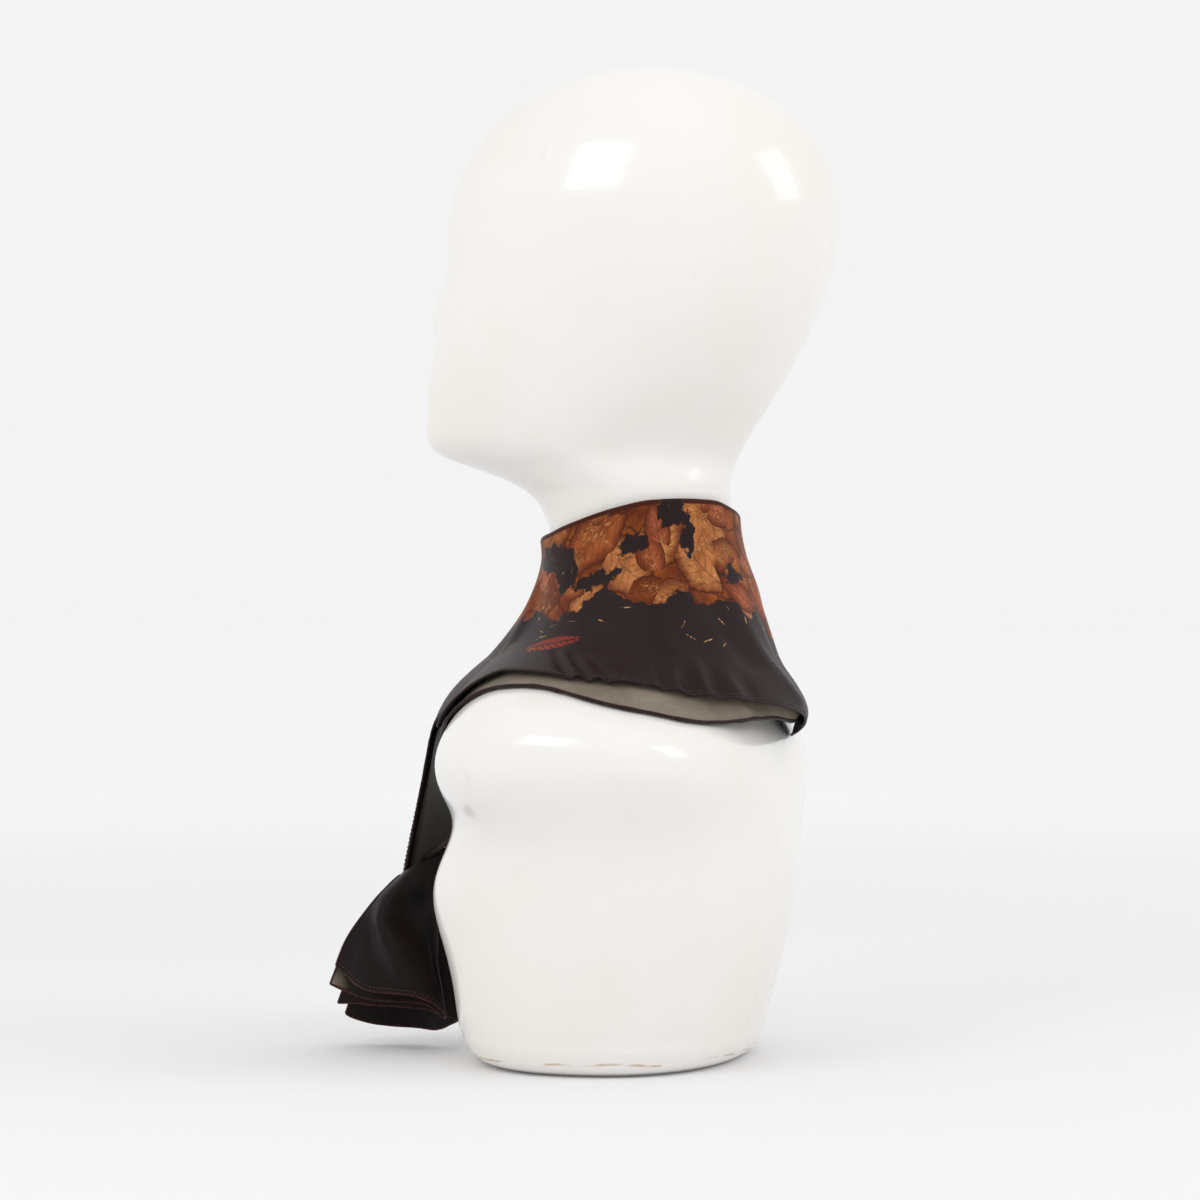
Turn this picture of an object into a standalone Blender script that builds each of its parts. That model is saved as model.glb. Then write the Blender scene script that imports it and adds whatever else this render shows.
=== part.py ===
"""Silk foulard, folded once along its length, worn on a limbless display bust.

Metres, +Z up. The bust faces -Y, and its left side is +X. The origin is the
middle of the bust's flat underside. Tables are in millimetres.

The scarf is one long rectangle. Its lengthwise fold stands up round the neck
and both long hems hang below it, so every stretch is a folded sheet of two
plies: the outer one has the printed side out, the under one lies next to the
body. Both ends come forward, are knotted low on the chest and fan out below.
"""

import math

import bpy
import numpy as np
from mathutils import Vector
from mathutils.bvhtree import BVHTree

MM = 0.001
SHARP_EDGE_DEGREES = 50

# Cloth
CLOTH_THICKNESS = 1.2
FOLD_RADIUS = 1.9
SEAM_GAP = 0.3
POINTS_DOWN_A_SHEET = 13
POINTS_ON_A_PLY = 7
POINTS_ROUND_A_FOLD = 5

# The outer ply stands this far off the bust, which leaves room for the under ply
OUTER_CLEARANCE = 6.2
FACE_ALLOWANCE = 0.3
LIFT_ROUNDS = 6
NORMAL_ROUNDS = 2
FACE_SAMPLES = [
    np.outer((1 - a, a), (1 - b, b)) for a in (0.0, 0.33, 0.67, 1.0) for b in (0.0, 0.33, 0.67)
]

# Bust
BUST_POINTS_ROUND = 40
BUST_RINGS_PER_ROW = 1
BUST_FRONT_DENSITY = 0.35
RELIEF_ONSET = 3.0
# tilt is how far a section drops towards the back, for each millimetre
# Columns: height, front, back, half_width, squareness, tilt
BUST_SECTIONS = (
    (0.0, -65, 64, 97, 2.3, 0.0),
    (3.0, -76, 73, 107, 2.3, 0.0),
    (10.0, -82, 79, 112, 2.3, 0.0),
    (26.0, -86, 85, 117, 2.3, 0.0),
    (50.0, -86, 91, 121, 2.3, 0.0),
    (75.0, -83, 97, 125, 2.3, 0.0),
    (100.0, -80, 101, 129, 2.3, 0.0),
    (120.0, -79, 103, 132, 2.3, 0.0),
    (140.0, -80, 103, 139, 2.4, 0.0),
    (158.0, -86, 103, 154, 2.7, 0.0),
    (174.0, -89, 102, 164, 2.8, 0.02),
    (190.0, -85, 99, 163, 2.7, 0.05),
    (203.0, -78, 94, 150, 2.4, 0.10),
    (212.0, -71, 90, 132, 2.2, 0.13),
    (221.0, -63, 86, 112, 2.1, 0.13),
    (232.0, -55, 81, 92, 2.1, 0.09),
    (248.0, -48, 76, 73, 2.0, 0.04),
    (268.0, -41, 71, 59, 2.0, 0.0),
    (290.0, -39, 67, 53, 2.0, 0.0),
    (312.0, -42, 65, 51, 2.0, 0.0),
    (328.0, -51, 66, 52, 2.0, 0.0),
    (338.0, -68, 67, 54, 2.0, 0.0),
    (346.0, -90, 69, 56, 1.95, 0.0),
    (353.0, -109, 73, 59, 1.9, 0.0),
    (364.0, -117, 79, 63, 1.9, 0.0),
    (382.0, -115, 90, 68, 2.0, 0.0),
    (408.0, -112, 105, 75, 2.1, 0.0),
    (436.0, -107, 119, 81, 2.15, 0.0),
    (466.0, -103, 128, 85, 2.15, 0.0),
    (492.0, -102, 131, 86, 2.1, 0.0),
    (516.0, -95, 126, 82, 2.05, 0.0),
    (538.0, -82, 114, 73, 2.0, 0.0),
    (556.0, -63, 96, 59, 2.0, 0.0),
    (569.0, -38, 71, 42, 2.0, 0.0),
    (577.0, -12, 43, 23, 2.0, 0.0),
    (579.5, 10, 21, 5, 2.0, 0.0),
)

# Soft swellings and hollows of the bust, on both sides where side is not 0
# Columns: side, height, half_width, half_height, rise
BUST_RELIEF = (
    (62, 100, 31, 26, 25.0),
    (0, 452, 7, 12, 3.0),
    (0, 438, 9, 8, 10.0),
    (33, 456, 13, 9, -5.0),
    (0, 391, 20, 5, 4.5),
    (0, 364, 17, 9, 3.0),
)

# Neck wrap: sections at angles round the neck's axis, 0 at the throat, 90 on the left.
# low is the lower edge of the longer ply; each ply reaches a share of the way down to it.
# low_turn carries the lower edge back round the neck, where the fold runs ahead of it.
NECK_AXIS_Y = 14.0
WRAP_END_ANGLE = 38.0
WRAP_SECTIONS_ROUND = 34
WRAP_MIDDLE_TURN = 0.4
# Columns: angle, low_turn, fold_radius, fold_height, middle_radius, middle_height,
# low_radius, low_height, outer_reach, under_reach
WRAP_SECTIONS = (
    (38, 24, 55.5, 305.0, 67.0, 261.0, 116.0, 217.0, 0.94, 1.0),
    (60, 18, 55.0, 311.5, 66.5, 263.0, 124.0, 208.0, 0.90, 1.0),
    (90, 8, 55.0, 322.0, 67.0, 264.0, 131.0, 202.0, 0.87, 1.0),
    (110, 0, 56.0, 325.0, 69.0, 263.0, 129.0, 200.0, 0.86, 1.0),
    (130, 0, 56.5, 324.5, 69.0, 261.0, 120.0, 199.0, 0.88, 1.0),
    (150, 0, 57.0, 324.5, 69.0, 259.0, 111.0, 200.0, 0.93, 1.0),
    (180, 0, 57.0, 317.5, 69.0, 256.0, 98.0, 198.0, 1.0, 0.97),
    (200, 0, 56.5, 314.0, 68.5, 253.0, 98.0, 194.0, 1.0, 0.96),
    (222, 0, 56.5, 312.0, 68.0, 253.0, 102.0, 197.0, 1.0, 0.97),
    (250, 0, 56.0, 310.0, 67.5, 255.0, 117.0, 204.0, 0.94, 1.0),
    (270, -8, 55.0, 309.0, 66.0, 256.0, 121.0, 207.0, 0.92, 1.0),
    (300, -18, 55.0, 307.0, 66.5, 257.0, 119.0, 211.0, 0.93, 1.0),
    (322, -24, 55.5, 304.5, 67.0, 260.0, 116.0, 215.0, 0.94, 1.0),
)

# Front stretches: sections from the throat down to the knot, written for the left side
STRETCH_SECTIONS_ALONG = 14
# Columns: run, fold_x, fold_y, fold_z, middle_x, middle_y, middle_z,
# low_x, low_y, low_z, outer_reach, under_reach
STRETCH_SECTIONS = (
    (0.12, 18, -40, 303, 39, -43, 259, 92, -58, 211, 0.93, 1.0),
    (0.25, 8, -44, 299, 37, -50, 258, 83, -67, 205, 0.93, 1.0),
    (0.38, 6, -48, 279, 38, -57, 247, 75, -77, 198, 0.91, 1.0),
    (0.50, 6, -56, 259, 35, -69, 234, 68, -86, 189, 0.86, 1.0),
    (0.60, 6, -68, 244, 33, -82, 219, 61, -91, 180, 0.78, 1.0),
    (0.70, 6, -88, 225, 30, -94, 202, 55, -95, 170, 0.65, 1.0),
    (0.80, 6, -107, 203, 27, -106, 183, 48, -98, 158, 0.48, 1.0),
    (0.90, 6, -118, 171, 20, -111, 157, 36, -98, 142, 0.36, 1.0),
    (1.00, 5, -131, 122, 10, -124, 123, 12, -111, 122, 0.35, 1.0),
)

# Knot
KNOT_CENTRE = (0.0, -122.0, 110.0)
KNOT_RADII = (15.5, 12.5, 10.0)
KNOT_POINTS_ROUND = 20
KNOT_RINGS = 10
KNOT_GROOVE = 1.6
KNOT_GROOVE_TWIST = 2.2
KNOT_GROOVE_SHARPNESS = 6
KNOT_LEAST_SHARE = 0.12

# Tails: sections from the knot down to the end hem
TAIL_SECTIONS_ALONG = 13
# Columns: run, then x, y, z of the front edge, front middle, fold, back middle, back edge
LEFT_TAIL = (
    (0.00, 7, -131, 102, 9, -122, 100, 7, -113, 102, 4, -122, 99, 3, -130, 101),
    (0.20, 10, -143, 93, 18, -127, 86, 12, -111, 82, 9, -127, 84, 4, -144, 90),
    (0.45, 12, -155, 78, 25, -131, 68, 15, -109, 61, 13, -132, 67, 5, -157, 73),
    (0.72, 12, -164, 64, 26, -133, 51, 15, -107, 43, 13, -136, 48, 5, -168, 56),
    (1.00, 11, -171, 51, 24, -133, 33, 13, -104, 26, 12, -139, 27, 4, -177, 38),
)
RIGHT_TAIL = (
    (0.00, -4, -130, 101, -4, -122, 99, -5, -112, 101, -8, -122, 100, -8, -130, 102),
    (0.20, -4, -143, 87, -3, -127, 80, -6, -108, 79, -12, -127, 80, -11, -142, 86),
    (0.45, -5, -156, 66, -4, -132, 56, -8, -103, 55, -16, -131, 56, -13, -154, 64),
    (0.72, -6, -167, 46, -4, -137, 33, -9, -100, 34, -18, -136, 32, -15, -164, 42),
    (1.00, -7, -176, 27, -5, -139, 12, -9, -98, 16, -18, -138, 11, -15, -172, 20),
)

# Finishes: colour, roughness, metallic
FINISHES = {
    "white_plastic": ((0.86, 0.85, 0.83, 1.0), 0.2, 0.0),
    "printed_silk": ((0.045, 0.03, 0.032, 1.0), 0.45, 0.0),
}


def finish(name):
    """Principled material of one finish."""
    colour, roughness, metallic = FINISHES[name]
    material = bpy.data.materials.get(name) or bpy.data.materials.new(name)
    material.use_nodes = True
    shader = material.node_tree.nodes["Principled BSDF"]
    shader.inputs["Base Color"].default_value = colour
    shader.inputs["Roughness"].default_value = roughness
    shader.inputs["Metallic"].default_value = metallic
    return material


def smooth_through(stations, values, at):
    """Cubic through a table's values that never overshoots between two rows."""
    stations = np.asarray(stations, float)
    values = np.asarray(values, float)
    step = np.diff(stations)
    slope = np.diff(values) / step
    lean = np.zeros_like(values)
    lean[0] = slope[0]
    lean[-1] = slope[-1]
    for i in range(1, len(values) - 1):
        if slope[i - 1] * slope[i] > 0:
            before = 2 * step[i] + step[i - 1]
            after = step[i] + 2 * step[i - 1]
            lean[i] = (before + after) / (before / slope[i - 1] + after / slope[i])
    place = np.clip(np.searchsorted(stations, at, side="right") - 1, 0, len(step) - 1)
    width = step[place]
    t = (at - stations[place]) / width
    return (
        values[place] * (1 + 2 * t) * (1 - t) ** 2
        + lean[place] * width * t * (1 - t) ** 2
        + values[place + 1] * t * t * (3 - 2 * t)
        + lean[place + 1] * width * t * t * (t - 1)
    )


def row_at(table, station):
    """All columns of a table at a station, which is its first column."""
    columns = list(zip(*table))
    return [float(smooth_through(columns[0], column, station)) for column in columns[1:]]


def new_object(name, points, faces, finish_name):
    """Mesh object from points in millimetres, shaded smooth but for its sharp edges."""
    mesh = bpy.data.meshes.new(name)
    mesh.from_pydata([Vector(p) * MM for p in points], [], faces)
    mesh.validate()
    mesh.shade_smooth()
    mesh.set_sharp_from_angle(angle=math.radians(SHARP_EDGE_DEGREES))
    mesh.materials.append(finish(finish_name))
    obj = bpy.data.objects.new(name, mesh)
    bpy.context.scene.collection.objects.link(obj)
    return obj


def bust_point(row, turn):
    """Point of one bust section; turn is 0 at the front and grows towards +X."""
    height, front, back, half_width, squareness, tilt = row
    middle = (front + back) / 2
    half_depth = (back - front) / 2
    power = 2 / squareness
    across = math.sin(turn)
    ahead = math.cos(turn)
    x = half_width * math.copysign(abs(across) ** power, across)
    y = middle - half_depth * math.copysign(abs(ahead) ** power, ahead)
    if ahead > 0:
        for side, centre, half_across, half_height, rise in BUST_RELIEF:
            for sign in {1, -1} if side else {1}:
                away = ((x - sign * side) / half_across) ** 2
                away += ((height - centre) / half_height) ** 2
                y -= rise * math.exp(-away / 2) * min(1.0, RELIEF_ONSET * ahead)
    return (x, y, height - tilt * (y - middle))


def display_bust():
    """Head, neck, shoulders and chest in one smooth closed form on a flat underside."""
    rows = len(BUST_SECTIONS)
    count = (rows - 1) * BUST_RINGS_PER_ROW + 1
    numbered = [(float(i), *row) for i, row in enumerate(BUST_SECTIONS)]
    points = []
    for ring in range(count):
        row = row_at(numbered, ring / BUST_RINGS_PER_ROW)
        for i in range(BUST_POINTS_ROUND):
            even = 2 * math.pi * i / BUST_POINTS_ROUND
            turn = even - BUST_FRONT_DENSITY * math.sin(even)
            points.append(bust_point(row, turn))
    faces = []
    for ring in range(count - 1):
        for i in range(BUST_POINTS_ROUND):
            here = ring * BUST_POINTS_ROUND + i
            beside = ring * BUST_POINTS_ROUND + (i + 1) % BUST_POINTS_ROUND
            faces.append((here, beside, beside + BUST_POINTS_ROUND, here + BUST_POINTS_ROUND))
    faces.append(tuple(reversed(range(BUST_POINTS_ROUND))))
    top = (count - 1) * BUST_POINTS_ROUND
    faces.append(tuple(range(top, top + BUST_POINTS_ROUND)))
    return new_object("display_bust", points, faces, "white_plastic")


def through_three(start, middle, end, t):
    """Parabola through three points, at t from 0 to 1."""
    return start * (1 - t) * (1 - 2 * t) + middle * 4 * t * (1 - t) + end * t * (2 * t - 1)


def unit(vector):
    return vector / np.linalg.norm(vector)


def folded_section(edge, middle, fold, back_middle, back_edge, side):
    """Middle points of a folded sheet's section, from one free edge round the fold to the other.

    side points from the back ply to the front ply.
    """
    up = fold - (middle + back_middle) / 2
    up = unit(up - side * up.dot(side))
    centre = fold - up * FOLD_RADIUS
    front_end = centre + side * FOLD_RADIUS
    back_end = centre - side * FOLD_RADIUS
    along = np.linspace(0, 1, POINTS_ON_A_PLY + 1)[:-1]
    section = [through_three(edge, middle, front_end, t) for t in along]
    for angle in np.linspace(0, math.pi, POINTS_ROUND_A_FOLD):
        reach = side * math.cos(angle) + up * math.sin(angle)
        section.append(centre + reach * FOLD_RADIUS)
    section += [through_three(back_edge, back_middle, back_end, t) for t in along[::-1]]
    return section


def grid_normals(grid):
    """Unit normals of a grid of points, from its neighbours along and across."""
    along = np.gradient(grid, axis=0)
    across = np.gradient(grid, axis=1)
    normals = np.cross(along, across)
    return normals / np.linalg.norm(normals, axis=2, keepdims=True)


def cloth_wall(name, grid, normals=None):
    """Closed wall of cloth thickness about a grid of middle points."""
    normals = grid_normals(grid) if normals is None else normals
    offset = normals * CLOTH_THICKNESS / 2
    rows, columns = grid.shape[:2]
    points = np.concatenate([(grid + offset).reshape(-1, 3), (grid - offset).reshape(-1, 3)])
    second = rows * columns
    faces = []
    for i in range(rows - 1):
        for j in range(columns - 1):
            a = i * columns + j
            b, c, d = a + 1, a + columns + 1, a + columns
            faces.append((a, d, c, b))
            faces.append((second + a, second + b, second + c, second + d))
    rim = [(0, j) for j in range(columns)]
    rim += [(i, columns - 1) for i in range(1, rows)]
    rim += [(rows - 1, j) for j in range(columns - 2, -1, -1)]
    rim += [(i, 0) for i in range(rows - 2, 0, -1)]
    for (i, j), (k, m) in zip(rim, rim[1:] + rim[:1]):
        a = i * columns + j
        b = k * columns + m
        faces.append((a, b, second + b, second + a))
    if wall_volume(points, faces) < 0:
        faces = [tuple(reversed(face)) for face in faces]
    return new_object(name, points, faces, "printed_silk")


def wall_volume(points, faces):
    """Six times the signed volume of a closed mesh of four-sided faces."""
    corners = np.asarray(faces)
    a, b, c, d = (points[corners[:, k]] for k in range(4))
    return float(np.einsum("ij,ij->i", a, np.cross(b, c) + np.cross(c, d)).sum())


def bust_tree(bust):
    """Search tree of the bust's surface, in millimetres."""
    points = [tuple(v.co / MM) for v in bust.data.vertices]
    return BVHTree.FromPolygons(points, [tuple(p.vertices) for p in bust.data.polygons])


def shortfall(point, wanted, tree):
    """Move that brings a point out to the wanted distance from the bust, or None."""
    spot, normal, _, _ = tree.find_nearest(Vector(point))
    height = (Vector(point) - spot).dot(normal)
    return np.array(normal) * (wanted - height) if height < wanted else None


def lifted_clear(sheet, tree):
    """Sheet moved out until its points, and points spread over its faces, are clear of the bust."""
    rows, columns = sheet.shape[:2]
    for _ in range(LIFT_ROUNDS):
        for i in range(rows):
            for j in range(columns):
                move = shortfall(sheet[i, j], OUTER_CLEARANCE, tree)
                if move is not None:
                    sheet[i, j] += move
        for i in range(rows - 1):
            for j in range(columns - 1):
                corners = sheet[i : i + 2, j : j + 2]
                for weights in FACE_SAMPLES:
                    spot = np.einsum("ij,ijk->k", weights, corners)
                    move = shortfall(spot, OUTER_CLEARANCE - FACE_ALLOWANCE, tree)
                    if move is not None:
                        corners += move
    return sheet


def points_down(curve, shares):
    """Points at the given shares of the way down one section."""
    places = np.linspace(0, 1, len(curve))
    return np.stack([np.interp(shares, places, curve[:, k]) for k in range(3)], axis=1)


def folded_grid(sheet, outer_reach, under_reach):
    """Both plies as one grid: the outer lies on the sheet, the under ply a fold's width inside."""
    normals = grid_normals(sheet)
    for _ in range(NORMAL_ROUNDS):
        blended = normals.copy()
        blended[1:-1] += (normals[2:] + normals[:-2]) / 2
        normals = blended / np.linalg.norm(blended, axis=2, keepdims=True)
    outward = sheet - (0.0, NECK_AXIS_Y, 0.0)
    outward[:, :, 2] = 0
    if (normals * outward).sum() < 0:
        normals = -normals
    under = sheet - normals * 2 * FOLD_RADIUS
    shares = np.linspace(0, 1, POINTS_ON_A_PLY)
    turns = np.linspace(0, math.pi, POINTS_ROUND_A_FOLD)[1:-1]
    grid = []
    for i, curve in enumerate(sheet):
        up = curve[0] - curve[1]
        up = unit(up - normals[i, 0] * up.dot(normals[i, 0]))
        centre = curve[0] - normals[i, 0] * FOLD_RADIUS
        outer_ply = points_down(curve, shares * outer_reach[i])[::-1]
        round_fold = [
            centre + FOLD_RADIUS * (normals[i, 0] * math.cos(turn) + up * math.sin(turn))
            for turn in turns
        ]
        under_ply = points_down(under[i], shares * under_reach[i])
        grid.append(np.concatenate([outer_ply, round_fold, under_ply]))
    return np.array(grid)


def section_down(fold, middle, low):
    """Points of one section, from the fold down to the lower edge."""
    return [through_three(fold, middle, low, t) for t in np.linspace(0, 1, POINTS_DOWN_A_SHEET)]


def wrap_section(angle):
    """Section of the scarf round the neck at an angle in degrees, and the reach of its plies."""
    low_turn, *sizes, outer_reach, under_reach = row_at(WRAP_SECTIONS, angle)
    places = []
    for share, radius, height in zip((0.0, WRAP_MIDDLE_TURN, 1.0), sizes[::2], sizes[1::2]):
        turn = math.radians(angle + low_turn * share)
        out = np.array([math.sin(turn), -math.cos(turn), 0.0])
        places.append(out * radius + (0.0, NECK_AXIS_Y, height))
    return section_down(*places), (outer_reach, under_reach)


def stretch_sections(mirror):
    """Sections of a front stretch from the neck wrap to the knot; mirror is 1 left, -1 right."""
    start, start_reach = wrap_section(WRAP_END_ANGLE * mirror % 360)
    first = STRETCH_SECTIONS[0][0]
    found = []
    for run in np.linspace(0, 1, STRETCH_SECTIONS_ALONG)[1:]:
        row = row_at(STRETCH_SECTIONS, max(run, first))
        places = [np.array(row[k : k + 3]) * (mirror, 1, 1) for k in range(0, 9, 3)]
        share = min(1.0, run / first)
        section = np.array(start) * (1 - share) + np.array(section_down(*places)) * share
        found.append((section, np.array(start_reach) * (1 - share) + np.array(row[9:]) * share))
    return found


def worn_stretches(tree):
    """The scarf from knot to knot as one lifted sheet, parted into its three stretches."""
    angles = np.linspace(WRAP_END_ANGLE, 360 - WRAP_END_ANGLE, WRAP_SECTIONS_ROUND)
    left = stretch_sections(1)[::-1]
    right = stretch_sections(-1)
    sections, reaches = zip(*left, *[wrap_section(angle) for angle in angles], *right)
    sheet = lifted_clear(np.array(sections, float), tree)
    grid = folded_grid(sheet, *zip(*reaches))
    seated_on_knot(grid[0], 1)
    seated_on_knot(grid[-1], 1)
    normals = grid_normals(grid)
    first_seam = len(left)
    second_seam = first_seam + WRAP_SECTIONS_ROUND - 1
    spans = {
        "front_stretch_left": (0, first_seam),
        "neck_wrap": (first_seam, second_seam),
        "front_stretch_right": (second_seam, len(grid) - 1),
    }
    for name, (start, end) in spans.items():
        piece = grid[start : end + 1].copy()
        for row, inner in ((0, 1), (-1, -2)):
            inward = piece[inner] - piece[row]
            inward /= np.linalg.norm(inward, axis=1, keepdims=True)
            piece[row] += inward * SEAM_GAP / 2
        cloth_wall(name, piece, normals[start : end + 1])


def seated_on_knot(row, above):
    """Row of points brought to the knot, a seam's gap off it; above is 1, or -1 from below."""
    centre = np.array(KNOT_CENTRE)
    radii = np.array(KNOT_RADII) + CLOTH_THICKNESS / 2 + SEAM_GAP
    for point in row:
        across = ((point - centre) / radii)[:2]
        share = max(KNOT_LEAST_SHARE, 1 - across.dot(across))
        point[2] = centre[2] + above * radii[2] * math.sqrt(share)


def knot():
    """Small tight knot, a flattened lump with slanting grooves between its turns."""
    centre = np.array(KNOT_CENTRE)
    radii = np.array(KNOT_RADII)
    points = [centre - (0, 0, radii[2])]
    for ring in range(1, KNOT_RINGS):
        tilt = math.pi * ring / KNOT_RINGS
        for i in range(KNOT_POINTS_ROUND):
            turn = 2 * math.pi * i / KNOT_POINTS_ROUND
            across = np.array([math.cos(turn), math.sin(turn), 0.0]) * math.sin(tilt)
            across[2] = -math.cos(tilt)
            wave = math.sin(2 * turn + KNOT_GROOVE_TWIST * math.cos(tilt))
            groove = wave**KNOT_GROOVE_SHARPNESS * math.sin(tilt)
            shrink = 1 - groove * KNOT_GROOVE / radii[1]
            points.append(centre + across * radii * shrink)
    points.append(centre + (0, 0, radii[2]))
    top = len(points) - 1
    faces = []
    for i in range(KNOT_POINTS_ROUND):
        beside = (i + 1) % KNOT_POINTS_ROUND
        faces.append((0, 1 + beside, 1 + i))
        for ring in range(KNOT_RINGS - 2):
            low = 1 + ring * KNOT_POINTS_ROUND
            high = low + KNOT_POINTS_ROUND
            faces.append((low + i, low + beside, high + beside, high + i))
        high = 1 + (KNOT_RINGS - 2) * KNOT_POINTS_ROUND
        faces.append((high + i, high + beside, top))
    return new_object("knot", points, faces, "printed_silk")


def tail(name, table):
    """One free end: a folded sheet that fans out from the knot to its end hem."""
    side = np.array([1.0, 0.0, 0.0])
    grid = []
    for run in np.linspace(0, 1, TAIL_SECTIONS_ALONG):
        row = row_at(table, run)
        edge, middle, fold, back_middle, back_edge = (
            np.array(row[k : k + 3]) for k in range(0, 15, 3)
        )
        grid.append(folded_section(edge, middle, fold, back_middle, back_edge, side))
    grid = np.array(grid)
    seated_on_knot(grid[0], -1)
    return cloth_wall(name, grid)


def main():
    for obj in list(bpy.data.objects):
        bpy.data.objects.remove(obj, do_unlink=True)
    bust = display_bust()
    tree = bust_tree(bust)
    worn_stretches(tree)
    knot()
    tail("tail_left", LEFT_TAIL)
    tail("tail_right", RIGHT_TAIL)


main()
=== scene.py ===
"""Looks of a silk foulard on a limbless display bust.

Tables and sizes are in millimetres, and meshes in metres. The bust faces -Y, its left
side is +X, and the origin is the middle of its flat underside.
"""

import math

import bmesh
import bpy
import numpy as np
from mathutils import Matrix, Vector
from mathutils.bvhtree import BVHTree


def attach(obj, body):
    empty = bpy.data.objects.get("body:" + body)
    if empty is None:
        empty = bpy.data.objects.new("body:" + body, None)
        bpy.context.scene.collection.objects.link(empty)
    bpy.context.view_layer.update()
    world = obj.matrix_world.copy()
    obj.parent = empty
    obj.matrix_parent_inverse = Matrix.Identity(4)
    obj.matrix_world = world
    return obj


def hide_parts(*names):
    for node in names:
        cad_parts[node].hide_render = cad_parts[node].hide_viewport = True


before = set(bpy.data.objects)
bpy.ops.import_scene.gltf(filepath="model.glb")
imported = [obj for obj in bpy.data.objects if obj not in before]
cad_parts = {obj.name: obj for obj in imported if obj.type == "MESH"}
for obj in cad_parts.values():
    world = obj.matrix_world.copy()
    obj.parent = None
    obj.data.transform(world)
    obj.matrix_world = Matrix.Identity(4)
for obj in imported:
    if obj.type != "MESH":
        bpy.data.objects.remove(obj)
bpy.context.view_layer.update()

MM = 0.001

# Camera, in metres: where the photograph was taken from, found by fitting the bust's outline
PHOTO_SIZE = 1200
CAMERA_AZIMUTH = math.radians(105.0)
CAMERA_DISTANCE = 2.2
CAMERA_HEIGHT = 0.2676
CAMERA_SHIFT_ACROSS = -0.01174
CAMERA_FOCAL_PIXELS = 3748.0
SENSOR_WIDTH = 36.0

# Cloth: a thin sheet laid a little off the bust, its two plies a little off each other
SILK_THICKNESS = 0.45
FOLD_RADIUS = 1.6
OUTER_CLEARANCE = 6.0
PLY_CLEARANCE = 1.5
HEM_RADIUS = 0.8
UNDER_HEM_RADIUS = 1.15
TAIL_HEM_RADIUS = 0.75
POINTS_DOWN_A_PLY = 54
POINTS_DOWN_THE_OUTER_PLY = 66
POINTS_DOWN_THE_UNDER_PLY = 40
POINTS_ROUND_A_FOLD = 7
SMOOTHING_ROUNDS = 3
LIFT_ROUNDS = 4
LAST_LIFT_LESS = 0.8
NORMAL_SMOOTHING_ROUNDS = 4
PLIES_PART_BY = 1.0

# Bust. Columns: height, front, back, half_width, squareness, tilt
BUST_SECTIONS = (
    (0.0, -65, 64, 97, 2.3, 0.0),
    (3.0, -76, 73, 107, 2.3, 0.0),
    (10.0, -84, 79, 112, 2.3, 0.0),
    (26.0, -90, 85, 117, 2.3, 0.0),
    (50.0, -89.5, 91, 121, 2.3, 0.0),
    (75.0, -84.5, 97, 125, 2.3, 0.0),
    (100.0, -80, 101, 129, 2.3, 0.0),
    (120.0, -79, 103, 132, 2.3, 0.0),
    (140.0, -80, 103, 139, 2.4, 0.0),
    (158.0, -91, 103, 154, 2.7, 0.0),
    (174.0, -93, 102, 164, 2.8, 0.02),
    (190.0, -87, 99, 163, 2.7, 0.05),
    (203.0, -78, 94, 150, 2.4, 0.10),
    (212.0, -71, 90, 132, 2.2, 0.13),
    (221.0, -63, 86, 112, 2.1, 0.13),
    (232.0, -55, 81, 92, 2.1, 0.09),
    (248.0, -48, 76, 73, 2.0, 0.04),
    (268.0, -41, 71, 59, 2.0, 0.0),
    (290.0, -39, 67, 53, 2.0, 0.0),
    (312.0, -42, 65, 51, 2.0, 0.0),
    (328.0, -51, 66, 52, 1.94, 0.0),
    (338.0, -68, 67, 54, 1.82, 0.0),
    (346.0, -90, 69, 56, 1.64, 0.0),
    (353.0, -109, 73, 59, 1.6, 0.0),
    (364.0, -117, 79, 63, 1.7, 0.0),
    (382.0, -115, 90, 68, 1.9, 0.0),
    (408.0, -112, 105, 75, 2.1, 0.0),
    (436.0, -107, 119, 81, 2.15, 0.0),
    (466.0, -103, 128, 85, 2.15, 0.0),
    (492.0, -102, 131, 86, 2.1, 0.0),
    (516.0, -95, 126, 82, 2.05, 0.0),
    (538.0, -82, 114, 73, 2.0, 0.0),
    (556.0, -63, 96, 59, 2.0, 0.0),
    (569.0, -38, 71, 42, 2.0, 0.0),
    (577.0, -12, 43, 23, 2.0, 0.0),
    (579.5, 10, 21, 5, 2.0, 0.0),
)
BUST_POINTS_ROUND = 168
BUST_RINGS = 246
BUST_FRONT_DENSITY = 0.35
BUST_FIRST_ROUNDS = 2
BUST_END_RINGS = 3

# Stretches of the bust that are softened, in this order. Columns: from_height, to_height,
# rounds, rings kept at the top
BUST_SOFTENING = (
    (230.0, 600.0, 4, 3),
    (331.0, 374.0, 8, 1),
    (16.0, 230.0, 14, 1),
)

RELIEF_ONSET = 3.0

# Low swells and hollows on the front of the bust. Columns: side, height, half_width,
# half_height, rise
BUST_RELIEF = (
    (62, 100, 31, 26, 25.0),
    (0, 452, 7, 12, 3.0),
    (0, 438, 9, 8, 10.0),
    (33, 456, 13, 9, -5.0),
    (0, 391, 20, 5, 4.5),
    (0, 364, 17, 9, 3.0),
)

# Neck wrap
NECK_AXIS_Y = 14.0
WRAP_END_ANGLE = 38.0
WRAP_SECTIONS_SEEN = 150
WRAP_SECTIONS_HIDDEN = 90
SEEN_TO_ANGLE = 160.0
WRAP_MIDDLE_TURN = 0.4

# Places along the scarf are counted from the section over the left shoulder
SHOULDER_ANGLE = 90.0

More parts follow.
